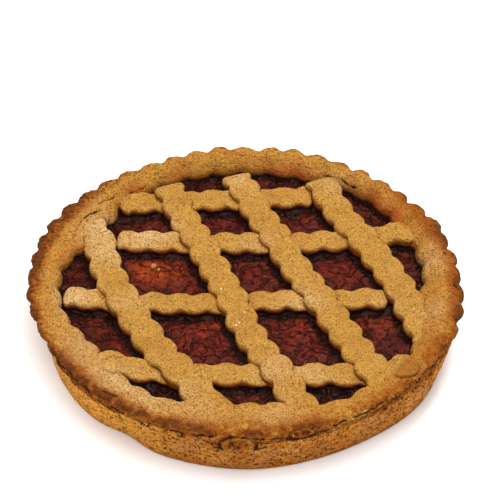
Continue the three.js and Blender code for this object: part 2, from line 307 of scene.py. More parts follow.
# More than a row of faces is long, so that the rows of a sorted sheet stay apart.
ROW_WEIGHT = 1000


def kept_inside(points: Array) -> Array:
    """Eases places that come near a side of the solids' box, or pass it, back inside.

    Args:
        points: Places, in millimetres.

    Returns:
        The eased places.
    """
    eased = points.copy()
    for axis, side, limit in BOX_SIDES:
        over = np.maximum(side * points[:, axis] - (limit - BOX_MARGIN), 0.0)
        eased[:, axis] -= side * (over - BOX_MARGIN * np.tanh(over / BOX_MARGIN))
    return eased


def row_order(face: bmesh.types.BMFace) -> float:
    """A face's rank in a flat sheet, row by row, so that every run lists the faces in the same order."""
    middle = face.calc_center_median()
    return middle.x + ROW_WEIGHT * middle.y


def placed(name: str, data: bpy.types.ID) -> Object:
    """Adds an object to the scene."""
    made = bpy.data.objects.new(name, data)
    bpy.context.scene.collection.objects.link(made)
    return made


class Skin:
    """A mesh whose vertices are read and moved in millimetres, with named masks on its vertices."""

    def __init__(self, name: str, shape: bmesh.types.BMesh) -> None:
        """Keeps the shape as a mesh of that name, and frees it."""
        self.mesh = bpy.data.meshes.new(name)
        shape.to_mesh(self.mesh)
        shape.free()

    def read(self, rows: bpy.types.bpy_prop_collection, key: str, width: int = 1) -> Array:
        """Reads that many numbers for every vertex."""
        flat = np.empty(len(self.mesh.vertices) * width, np.float32)
        rows.foreach_get(key, flat)
        return flat.astype(float)

    @property
    def points(self) -> Array:
        """The vertices' places, in the unit that they were last written in."""
        return self.read(self.mesh.vertices, "co", 3).reshape(-1, 3)

    @points.setter
    def points(self, places: Array) -> None:
        """Moves the vertices to new places."""
        self.mesh.vertices.foreach_set("co", places.astype(np.float32).ravel())
        self.mesh.update()

    @property
    def normals(self) -> Array:
        """The vertices' outward directions."""
        return self.read(self.mesh.vertex_normals, "vector", 3).reshape(-1, 3)

    def mask(self, name: str) -> Array:
        """Reads a named mask."""
        return self.read(self.mesh.attributes[name].data, "value")

    def set_mask(self, name: str, values: Array | float) -> None:
        """Writes a named mask, made if it is new."""
        attribute = self.mesh.attributes.get(name) or self.mesh.attributes.new(name, "FLOAT", "POINT")
        attribute.data.foreach_set("value", np.full(len(self.mesh.vertices), values, np.float32))

    def set_masks(self, **masks: Array | float) -> None:
        """Writes masks that the shaders read, each kept between 0 and 1."""
        for name, values in masks.items():
            self.set_mask(name, clipped(values))

    def close(self) -> None:
        """Merges the seams and poles, and turns all faces outwards."""
        shape = bmesh.new()
        shape.from_mesh(self.mesh)
        bmesh.ops.remove_doubles(shape, verts=shape.verts, dist=WELD_GAP)
        bmesh.ops.dissolve_degenerate(shape, edges=shape.edges, dist=WELD_GAP / 4)
        bmesh.ops.recalc_face_normals(shape, faces=shape.faces)
        shape.to_mesh(self.mesh)
        shape.free()

    def push(self, amount: Array) -> None:
        """Moves every vertex outwards by an amount."""
        self.points = self.points + self.normals * amount[:, None]

    def piece(self, finish: Material, slot: str, *nodes: str) -> Object:
        """Makes the finished piece, in metres, smooth-shaded, riding on the tart's only body.

        Args:
            finish: The piece's material.
            slot: Not used.
            nodes: The frame's nodes that the piece stands for.

        Returns:
            The new object.
        """
        self.points = kept_inside(self.points) * MM
        self.mesh.materials.append(finish)
        self.mesh.polygons.foreach_set("use_smooth", np.ones(len(self.mesh.polygons), bool))
        made = placed(self.mesh.name, self.mesh)
        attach(made, "root")
        if nodes:
            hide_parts(*nodes)
        log.info("%s: %d faces", made.name, len(self.mesh.polygons))
        return made


def flat_sheet(name: str, across: int, along: int) -> tuple[Skin, Array, Array]:
    """Makes a grid whose vertices say their share across and along.

    Args:
        name: Name of the mesh.
        across: Faces across.
        along: Faces along.

    Returns:
        The skin, and each vertex's share across and along, 0 to 1.
    """
    shape = bmesh.new()
    bmesh.ops.create_grid(shape, x_segments=across, y_segments=along, size=0.5)
    skin = Skin(name, shape)
    places = skin.points
    return skin, places[:, 0] + 0.5, places[:, 1] + 0.5


def turned_sheet(name: str, counts: tuple[int, ...],
                 steps: int) -> tuple[Skin, Array, Array, Array]:
    """Makes a grid to be wrapped once round Z, its rows shared out over the segments of a section.

    Args:
        name: Name of the mesh.
        counts: Faces in each segment of the section.
        steps: Faces round the turn.

    Returns:
        The skin, and each vertex's angle, its way along the section in segments, and the segment it is in.
    """
    rows = sum(counts)
    skin, round_share, up_share = flat_sheet(name, steps, rows)
    run = np.concatenate([np.arange(count) / count + index for index, count in enumerate(counts)])
    run = np.append(run, float(len(counts)))[np.rint(rows * up_share).astype(int)]
    return skin, FULL_TURN * round_share, run, np.minimum(np.floor(run).astype(int), len(counts) - 1)


def curved(corners: tuple[Array, ...], share: Array) -> Array:
    """Follows a smooth curve through four points, from the second to the third.

    Args:
        corners: The points in order, or a row of places for each.
        share: How far along each place is, as a column.

    Returns:
        The places on the curve.
    """
    before, start, end, after = corners
    bend = (2 * before - 5 * start + 4 * end - after) * share**2
    turn = (3 * start - before - 3 * end + after) * share**3
    return 0.5 * (2 * start + (end - before) * share + bend + turn)


# ---- Creases and cracks ----

SIDE_FROM = 90
TOP_FROM = 22.8
CRACK_WOBBLE = (Humps(0.55, 3.2, 31), Humps(0.25, 1.1, 32))
CRACK_BREAKS = Humps(0.5, 2.6, 33)
CRACK_STRENGTH = 0.75
# Share of a crack over which each end fades, and how strong the very end is.
CRACK_FADE = 0.12
CRACK_END = 0.45
# Rings of a lobe, in shares of its size from the middle: a place and a width, or where it starts and is full.
LOBE_WOBBLE = Humps(0.05, 3.0, 35)
LOBE_TOP = (1.04, 0.92)
LOBE_MIDDLE = (0.74, 0.62)
# The ridge ring is also painted lighter as a painted highlight; the line ring is a groove painted darker as
# painted shade, and the shade ring is a painted shadow below a lobe.
LOBE_RIDGE = (0.76, 0.10)
LOBE_LINE = (1.02, 0.12)
LOBE_SHADE = (1.32, 0.28)
LOBE_LINE_DEPTH = 1.6
DOUGH_SWELLS = (Humps(0.20, 6.5, 0), Humps(0.13, 3.0, 1))
DOUGH_GRAIN = (Humps(0.085, 1.3, 2), Humps(0.06, 0.75, 3))
# Size of the torn layers round the tart, up it and outwards, and the radius that they are unrolled at.
LAYER_SIZE = (9.0, 1.0, 4.0)
UNROLL_RADIUS = 98


class Face(Enum):
    """Which face of the tart a crease runs over."""

    SIDE = 0
    TOP = 1


@dataclass(frozen=True)
class Crease:
    """A split in the dough from one place to another.

    A place is an angle and a level, which is a height on the side and a radius on the top.
    """

    face: Face
    start_angle: float
    start_level: float
    end_angle: float
    end_level: float
    width: float
    depth: float


CREASES = tuple(Crease(face, *row) for face, rows in (
    (Face.SIDE, (
        (250.5, 24.6, 256.4, 24.9, 0.5, 0.8), (256.4, 24.9, 262.6, 24.6, 0.75, 1.3),
        (257.6, 25.4, 258.2, 21.8, 0.45, 0.7), (236.5, 23.8, 248.5, 20.1, 0.5, 0.8),
        (233.0, 25.6, 246.5, 21.8, 0.4, 0.6), (240.0, 22.2, 252.0, 19.3, 0.35, 0.45),
        (261.0, 21.6, 264.3, 19.6, 0.5, 0.7), (272.8, 21.8, 277.5, 21.2, 0.5, 0.8),
        (277.5, 21.2, 281.5, 22.4, 0.35, 0.5), (288.6, 23.6, 292.4, 22.4, 0.75, 1.4),
        (292.6, 24.6, 297.0, 25.2, 0.5, 0.7), (298.5, 24.6, 312.0, 25.4, 0.35, 0.5),
        (301.0, 23.0, 315.0, 23.8, 0.4, 0.6), (303.5, 21.6, 310.5, 20.6, 0.4, 0.6),
        (205.5, 24.9, 222.0, 25.6, 0.45, 0.7), (222.0, 25.2, 236.0, 23.4, 0.55, 0.9),
        (264.0, 24.4, 281.0, 23.8, 0.35, 0.4), (314.0, 23.8, 326.0, 24.6, 0.3, 0.4))),
    (Face.TOP, (
        (158.0, 88.4, 149.2, 91.4, 0.5, 0.8), (149.2, 91.4, 142.4, 89.4, 0.6, 0.9),
        (141.5, 92.0, 131.0, 90.6, 0.45, 0.6), (131.0, 90.6, 124.0, 89.6, 0.6, 0.9),
        (57.6, 88.8, 56.0, 88.8, 1.0, 1.5), (66.0, 92.4, 52.0, 92.0, 0.4, 0.5),
        (321.8, 80.5, 316.0, 86.6, 0.8, 1.2), (221.8, 96.0, 226.0, 97.5, 0.5, 0.8),
        (227.6, 94.6, 233.6, 92.0, 0.7, 0.9), (359.3, 96.0, 354.6, 101.0, 0.5, 1.0),
        (12.8, 96.0, 11.7, 96.9, 0.7, 1.2), (24.5, 96.4, 23.5, 97.2, 0.4, 0.7),
        (3.0, 94.5, 357.5, 97.5, 0.4, 0.5)))) for row in rows)


@dataclass(frozen=True)
class Tab:
    """An oval lobe of dough pressed onto the folded edge: where it is, its half sizes and how proud it is."""

    angle: float
    radius: float
    height: float
    half_length: float
    half_width: float
    proud: float


TABS = (Tab(268.2, 97.6, 20.8, 8.2, 3.8, 1.1), Tab(284.8, 97.0, 24.0, 6.0, 2.0, 0.6))


def turned_about(points: Array, degrees: float) -> Array:
    """Arc length of every point from an angle, in millimetres."""
    angle = np.degrees(np.arctan2(points[:, 1], points[:, 0]))
    return np.radians(turn_between(degrees, angle)) * radius_of(points)


def creased(points: Array) -> tuple[Array, Array]:
    """Works out how deep the cracks are, and how much painted shade they get.

    Args:
        points: Places, in millimetres.

    Returns:
        The depth at each place, and its darkness from 0 to 1, painted as shade in the cracks.
    """
    radius = radius_of(points)
    shaky = sum(humps.at(points) for humps in CRACK_WOBBLE)
    broken = CRACK_STRENGTH + CRACK_BREAKS.at(points)
    faces = {Face.SIDE: (points[:, 2], radius > SIDE_FROM), Face.TOP: (radius, points[:, 2] > TOP_FROM)}
    depth = np.zeros(len(points))
    dark = np.zeros(len(points))
    for crease in CREASES:
        level, allowed = faces[crease.face]
        arc = turned_about(points, crease.start_angle)
        run = math.radians(turn_between(crease.start_angle, crease.end_angle)) * float(np.mean(radius))
        rise = crease.end_level - crease.start_level
        up = level + shaky - crease.start_level
        share = clipped((arc * run + up * rise) / (run * run + rise * rise))
        away = np.hypot(arc - share * run, up - share * rise) / crease.width
        ends = smoothstep(share, 0.0, CRACK_FADE) * smoothstep(share, 1.0, 1.0 - CRACK_FADE)
        groove = hump(away, 0.0, 1.0) * blend(CRACK_END, 1.0, ends) * broken * allowed
        depth = np.maximum(depth, crease.depth * groove)
        dark = np.maximum(dark, groove)
    return depth, clipped(dark)


def tabbed(points: Array) -> tuple[Array, Array, Array, Array]:
    """Works out the lobes pressed onto the folded edge.

    Args:
        points: Places, in millimetres.

    Returns:
        The outward push at each place, the darkness of the line round a lobe and of the painted shadow
        below it, the lobes' own area, and the raised edge round it, which is painted lighter as a highlight.
    """
    radius = radius_of(points)
    push, dark, area, ridge = np.zeros((4, len(points)))
    for tab in TABS:
        above = points[:, 2] - tab.height
        across = np.hypot(radius - tab.radius, above) / tab.half_width
        oval = np.hypot(turned_about(points, tab.angle) / tab.half_length, across) + LOBE_WOBBLE.at(points)
        low = smoothstep(above, 0.5 * tab.half_width, -0.5 * tab.half_width)
        inside = smoothstep(oval, *LOBE_TOP)
        edge = hump(oval, *LOBE_RIDGE)
        # The line round a lobe is darker on its low side, painted shade; the shade below it is a painted
        # shadow.
        line = hump(oval, *LOBE_LINE) * (0.5 + 0.5 * low)
        push += tab.proud * (inside * 0.4 + edge * (0.35 + 0.65 * low)) - LOBE_LINE_DEPTH * line
        shade = 0.95 * hump(oval, *LOBE_SHADE) * smoothstep(above, 0.0, -tab.half_width)
        dark = np.maximum(dark, np.maximum(line, shade))
        area = np.maximum(area, smoothstep(oval, *LOBE_MIDDLE))
        ridge = np.maximum(ridge, edge * (0.2 + 0.8 * low))
    return push, dark, area, ridge


def strata(points: Array) -> Array:
    """Torn, layered edge of the dough: ridges along the side, from -1 to 1."""
    arc = np.arctan2(points[:, 1], points[:, 0]) * UNROLL_RADIUS
    return fractal(np.stack([arc, points[:, 2], radius_of(points)], axis=1) / np.array(LAYER_SIZE), 1.0, 41)


def doughy(points: Array, seed: int) -> Array:
    """Unevenness of a baked surface in millimetres: soft swells, crumbs and grain."""
    soft, grain = (sum(humps.at(points, seed) for humps in layers) for layers in (DOUGH_SWELLS, DOUGH_GRAIN))
    return soft + grain


# ---- Rim band ----


@dataclass(frozen=True)
class BandSection:
    """Section of the rim band, each point a radius and a height, in order round it."""

    heel: Point
    seat: Point
    hem: Point
    lip: Point
    crest: Point
    brow: Point
    slope: Point
    edge: Point
    foot: Point


@dataclass
class RimBand:
    """The fluted band of dough round the edge, folded down over the wall at the front.

    The fold starts and is full at these shares of the way from back to front. The shares say how far a
    point of the section follows the outer edge, the inner edge or a dropped hem. The zones are a place
    along the section, in segments from the heel, and a width. The counts are faces in each segment.
    """

    back: BandSection = BandSection(
        heel=(91.2, 19.1), seat=(98.2, 23.8), hem=(100.2, 24.8), lip=(100.6, 27.6), crest=(98.9, 29.2),
        brow=(96.6, 28.5), slope=(93.6, 26.2), edge=(90.7, 22.4), foot=(89.8, 18.4))
    front: BandSection = BandSection(
        heel=(91.2, 19.1), seat=(96.7, 21.2), hem=(97.9, 22.0), lip=(97.6, 24.3), crest=(95.0, 25.9),
        brow=(90.0, 26.4), slope=(82.0, 25.4), edge=(77.8, 23.6), foot=(78.6, 18.4))
    fold: Point = (0.55, 0.95)
    flutes: int = 50
    crest_angle: float = 97.4
    flute_depth: float = 0.9
    flute_swing: float = 0.8
    flute_noise_radius: float = 99.0
    flute_depths: Humps = Humps(0.35, 13.0, 5)
    flute_shifts: Humps = Humps(0.35, 17.0, 6)
    inner_flutes: int = 41
    inner_crest_angle: float = 201.2
    inner_depth: float = 0.8
    unevenness: float = 0.35
    hem_flare: float = 0.15
    lip_drop: float = 0.45
    crest_share: float = 0.45
    crest_lift: float = 0.1
    brow_share: float = 0.1
    slope_share: float = 0.6
    foot_gap: float = 0.4
    counts: tuple[int, ...] = (3, 3, 8, 8, 9, 15, 13, 8, 3)
    steps: int = 1250
    hem_zone: Point = (2.9, 0.9)
    lip_zone: Point = (3.7, 1.0)
    rim_zone: Point = (3.1, 1.0)
    fold_zone: Point = (3.9, 0.95)
    crumb: Humps = Humps(1.0, 1.5, 17)
    pit_spacing: float = 1.7
    pit_depth: float = 0.7
    inner_swells: tuple[Swell, ...] = swells(
        (50, 15, 2), (180, 22, 2.5), (210, 13, -3.5), (243, 12, 2), (275, 13, -2.5), (298, 11, 5),
        (322, 18, 5.5), (356, 7, -3), (142, 7, -4.5), (157, 6, -4.5), (258, 6, -9))
    outer_swells: tuple[Swell, ...] = swells(
        (76, 13, 2.2), (97, 5, 1.4), (117, 9, -1.3), (155, 20, 2.4), (203, 14, -2.6), (345, 6, 0.8),
        (24, 6, 2.0))
    hem_drops: tuple[Swell, ...] = swells((268, 4.6, 5.0), (280, 7, 0.4), (248, 13, -3.0))
    tears: tuple[Swell, ...] = swells(
        (346, 2.2, 2.2), (3, 2.5, 0.9), (16, 3.5, 1.1), (36.7, 2.2, 1.0), (85.6, 3.0, 1.6), (72.6, 1.8, 0.9))

    def controls(self, angle: Array) -> Array:
        """Works out the section at every angle.

        Args:
            angle: Angles in radians.

        Returns:
            Nine points for each angle, each a radius and a height.
        """
        degrees = np.degrees(angle)
        front = (1 - np.sin(angle)) / 2
        fold = smoothstep(front, *self.fold)
        ring = polar(angle, self.flute_noise_radius, np.zeros_like(angle))
        depth = (self.flute_depth + self.flute_swing * np.sin(angle)) * (1 + self.flute_depths.at(ring))
        turn = self.flutes * (angle - math.radians(self.crest_angle))
        scallop = depth * flute(turn + self.flute_shifts.at(ring))
        swell = local_change(self.outer_swells, degrees)
        outer = scallop + swell + self.unevenness * wander(angle, 1) - local_change(self.tears, degrees)
        inner_flute = flute(self.inner_flutes * (angle - math.radians(self.inner_crest_angle)))
        inner = local_change(self.inner_swells, degrees) - self.inner_depth * inner_flute
        drop = fold * local_change(self.hem_drops, degrees)
        uneven = self.unevenness * wander(angle, 2)
        shares = np.stack([front, fold, fold, fold, fold, front, front, front, front], axis=1)
        back, ahead = np.array(astuple(self.back)), np.array(astuple(self.front))
        table = np.empty((len(angle), len(back), 2))
        table[:, :, 0] = back[:, 0] + (ahead[:, 0] - back[:, 0]) * shares
        table[:, :, 1] = back[:, 1] + (ahead[:, 1] - back[:, 1]) * front[:, None]
        heel, seat, hem, lip, crest, brow, slope, edge, foot = range(len(back))
        table[:, seat, 0] += swell
        table[:, seat, 1] -= np.minimum(drop, 0)
        table[:, hem, 0] += outer + self.hem_flare * np.maximum(drop, 0)
        table[:, hem, 1] -= drop
        table[:, lip, 0] += outer
        table[:, lip, 1] -= self.lip_drop * drop
        table[:, crest, 0] += self.crest_share * outer
        table[:, crest, 1] += self.crest_lift * scallop + uneven
        table[:, brow, 0] += self.brow_share * outer
        table[:, brow, 1] += uneven
        table[:, slope, 0] += self.slope_share * inner
        table[:, edge, 0] += inner
        table[:, edge, 1] -= uneven
        table[:, foot, 0] = np.minimum(table[:, foot, 0] + inner, table[:, heel, 0] - self.foot_gap)
        return table

    def build(self, finish: Material) -> Object:
        """Builds the band as one closed skin with its cracks, lobes and browning.

        Args:
            finish: The band's material.

        Returns:
            The band.
        """
        skin, angle, run, segment = turned_sheet("rim_crust", self.counts, self.steps)
        table = self.controls(angle)
        here = np.arange(len(table))
        corners = tuple(table[here, (segment + step) % len(self.counts)] for step in (-1, 0, 1, 2))
        section = curved(corners, (run - segment)[:, None])
        skin.points = polar(angle, section[:, 0], section[:, 1])
        skin.set_mask("run", run % len(self.counts))
        skin.close()
        self.roughen(skin)
        self.colour(skin)
        return skin.piece(finish, "rim_pastry", "rim_band")

    def roughen(self, skin: Skin) -> None:
        """Moves the skin's vertices to make crumb, torn layers, cracks and lobes.

        Args:
            skin: The closed skin, with its mask of the way along the section.
        """
        places, run = skin.points, skin.mask("run")
        front = smoothstep((1 - places[:, 1] / radius_of(places)) / 2, 0.55, 0.8)
        hem = hump(run, *self.hem_zone)
        left = smoothstep(-places[:, 0], 45, 90) * smoothstep(run, 5.4, 4.2)
        depth, dark = creased(places)
        push, line, area, ridge = tabbed(places)
        layers = strata(places)
        torn = layers * hem * (0.15 + 0.5 * front) * (1 - area)
        pits, chance = scattered(places, self.pit_spacing, 15)
        holes = smoothstep(pits, 0.62, 0.3) * (chance > 0.3) * np.maximum(area, 0.6 * hem * front)
        holes = np.maximum(holes, 0.6 * smoothstep(pits, 0.55, 0.25) * (chance > 0.45) * left)
        crumb = self.crumb.at(places) * np.maximum(left, 0.75 * hump(run, *self.lip_zone))
        # Painted shade: the gaps between torn layers and the pits are darkened, together with the cracks, the
        # lobes' lines and the painted shadow below them.
        gaps = 0.75 * hem * front * smoothstep(layers, -0.25, -0.75) * (1 - area)
        skin.set_masks(crack=np.maximum(np.maximum(dark, line), gaps) + 0.7 * holes, lobe=area, ridge=ridge)
        skin.set_mask("crumb", crumb)
        skin.push(doughy(places, 11) + torn + 0.4 * crumb + push - depth - self.pit_depth * holes)

    def colour(self, skin: Skin) -> None:
        """Writes the masks for browning, flour and jam stains.

        Args:
            skin: The roughened skin.
        """
        places, run, area = skin.points, skin.mask("run"), skin.mask("lobe")
        radius, height = radius_of(places), places[:, 2]
        cosine, sine = places[:, 0] / radius, places[:, 1] / radius
        front = smoothstep(-sine, 0.05, 0.62)
        blotch = fractal(places, 11.0, 51)
        small = fractal(places, 3.5, 55)
        rim_edge = hump(run, *self.rim_zone) * (1 - front) * (0.42 + 0.3 * small + 0.18 * np.abs(cosine))
        side = smoothstep(np.abs(cosine), 0.55, 0.95) * smoothstep(radius, 91.5, 98.0) * (1 - 0.6 * front)
        side = side * (0.42 + 0.35 * blotch) * (1 - 0.6 * smoothstep(cosine, 0.2, 0.6) * front)
        fold = hump(run, *self.fold_zone) * front * np.clip(0.9 + 0.7 * blotch + 0.8 * small, 0.15, 1.1)
        fold = fold * (1 - 0.7 * smoothstep(cosine, 0.25, 0.6))
        under = smoothstep(run, 3.3, 2.4) * front * 0.35 * (1 - area)
        inner = smoothstep(run, 6.3, 7.2) * (0.26 + 0.2 * small)
        brown = 0.10 + 0.10 * blotch + rim_edge + side + fold + under + inner + 0.4 * area
        # Raised layers of the fold are lighter and low ones browner; the lobes' raised edges are painted
        # lighter, a painted highlight.
        brown -= 0.25 * strata(places) * smoothstep(run, 4.2, 3.2) * front + 0.22 * skin.mask("ridge")
        brown += 0.12 * smoothstep(cosine, 0.5, 0.85) - 0.4 * skin.mask("crumb")
        brown = brown + 0.22 * smoothstep(-cosine, 0.5, 0.85) * smoothstep(radius, 94, 99)
        flour = patched(FLOUR, places) * smoothstep(run, 3.8, 4.8) * clipped(1 - 1.2 * fold)
        lipped = smoothstep(run, 6.4, 7.0) * smoothstep(height, 24.4, 22.8) * front
        pores = 0.25 + 0.75 * area + 0.5 * front * smoothstep(run, 4.4, 2.8)
        skin.set_masks(
            brown=brown, flour=flour,
            soak=smoothstep(height + 0.5 * small, 22.4, 19.4) * smoothstep(run, 5.9, 6.6),
            stain=patched(STAINS, places) * smoothstep(run, 5.2, 6.0) + 0.8 * lipped * (radius < 92),
            pores=pores + 0.6 * smoothstep(-cosine, 0.4, 0.8) * smoothstep(radius, 93, 98))


# ---- Case ----


@dataclass
class PastryCase:
    """The plain case: a flat floor and a leaning, uneven wall up to the band."""

    band: RimBand
    foot_radius: float = 91.8
    foot_rounding: float = 0.8
    wall_lean: float = 0.26
    unevenness: float = 0.35
    inner_top: float = 91.2
    inner_foot: float = 87.5
    floor: float = 8.0
    jam_level: float = 18.6
    seat_gap: float = 0.1
    seat_overhang: float = 0.5
    counts: tuple[int, ...] = (8, 2, 44, 5, 3, 4)
    steps: int = 1250
    pit_spacing: float = 2.3
    pit_flatness: float = 1.25
    pit_depth: float = 0.9
    roughness: float = 1.3
    swells: tuple[Swell, ...] = swells((234, 7, -3.0), (272, 14, 0.8), (328, 17, 3.2))

    def build(self, finish: Material) -> Object:
        """Builds the case as one closed skin, its wall finely divided.

        Args:
            finish: The case's material.

        Returns:
            The case.
        """
        skin, angle, run, zone = turned_sheet("case_crust", self.counts, self.steps)
        degrees = np.degrees(angle)
        seat = self.band.controls(angle)[:, 1]
        swell = local_change(self.band.outer_swells, degrees)
        bulge = local_change(self.swells, degrees)
        turn, share, inner, lining, base = (clipped(run - start) for start in range(1, 6))
        top = seat[:, 1] - self.seat_gap
        height = blend(self.foot_rounding, top, share)
        wall = self.foot_radius + self.wall_lean * height + bulge + share * swell
        wall += self.unevenness * wander(angle, 3) * np.sin(np.pi * share)
        wall = blend(wall, np.minimum(wall, seat[:, 0] + self.seat_overhang), smoothstep(share, 0.86, 1.0))
        rounding = turn * math.pi / 2
        foot = self.foot_radius + bulge
        jam = self.jam_level + self.seat_gap
        radius = np.choose(zone, [
            run * (foot - self.foot_rounding),
            foot - self.foot_rounding + self.foot_rounding * np.sin(rounding), wall,
            blend(wall, self.inner_top, inner), blend(self.inner_top, self.inner_foot, lining),
            self.inner_foot * (1 - base)])
        level = np.choose(zone, [
            0 * run, self.foot_rounding * (1 - np.cos(rounding)), height, blend(top, jam, inner),
            blend(jam, self.floor, lining), self.floor + 0 * run])
        skin.points = polar(angle, radius, level)
        skin.set_mask("run", run)
        skin.close()
        self.finish(skin)
        return skin.piece(finish, "case_pastry", "crust_base")

    def finish(self, skin: Skin) -> None:
        """Makes the wall's crumb, pits and cracks, and its masks.

        Args:
            skin: The closed skin, with its mask of the way along the section.
        """
        places, run = skin.points, skin.mask("run")
        wall = smoothstep(run, 1.9, 2.15) * smoothstep(run, 3.05, 2.97)
        depth, dark = creased(places)
        push, line, *_ = tabbed(places)
        sine = places[:, 1] / np.maximum(radius_of(places), 1.0)
        high = smoothstep(places[:, 2], 15.0, 22.0) * smoothstep(-sine, 0.1, 0.7)
        layers = strata(places)
        pits, chance = scattered(places * np.array([1.0, 1.0, self.pit_flatness]), self.pit_spacing, 61)
        holes = smoothstep(pits, 0.36 + 0.26 * chance, 0.18) * (chance > 0.4)
        amount = self.roughness * doughy(places, 21) + (0.10 + 0.34 * high) * layers
        amount = amount + push - depth - self.pit_depth * holes
        moved = skin.points + skin.normals * (amount * wall)[:, None]
        moved[:, 2] = np.maximum(moved[:, 2], 0.0)
        skin.points = moved
        low = smoothstep(places[:, 2], 6.0, 0.0)
        left = smoothstep(-places[:, 0], 20, 80)
        # Lighter towards the left, painted light on that side, and darker towards the bottom. Cracks, lobe
        # lines, pits and the gaps between low layers get painted shade.
        skin.set_masks(
            brown=0.42 + 0.14 * fractal(places, 12.0, 63) + 0.2 * low - 0.55 * left - 0.1 * high * layers,
            flour=clipped(0.12 + 0.25 * fractal(places, 5.0, 65)) * wall, soak=0.0, stain=0.0,
            crack=np.maximum(dark, line) + 0.7 * holes + 0.6 * high * smoothstep(layers, -0.2, -0.7),
            pores=0.8 * wall)


# ---- Lattice ----


class Layer(Enum):
    """The strips that lie on the jam, and those that cross them."""

    UNDER = 0
    OVER = 1


@dataclass(frozen=True)
class StripForm:
    """Sizes that all strips of one layer share."""

    rest: float
    thickness: float
    lift: float
    squeeze: float


FORMS = {
    Layer.UNDER: StripForm(rest=19.05, thickness=4.3, lift=0.0, squeeze=1.0),
    Layer.OVER: StripForm(rest=19.2, thickness=5.1, lift=1.7, squeeze=0.4),
}


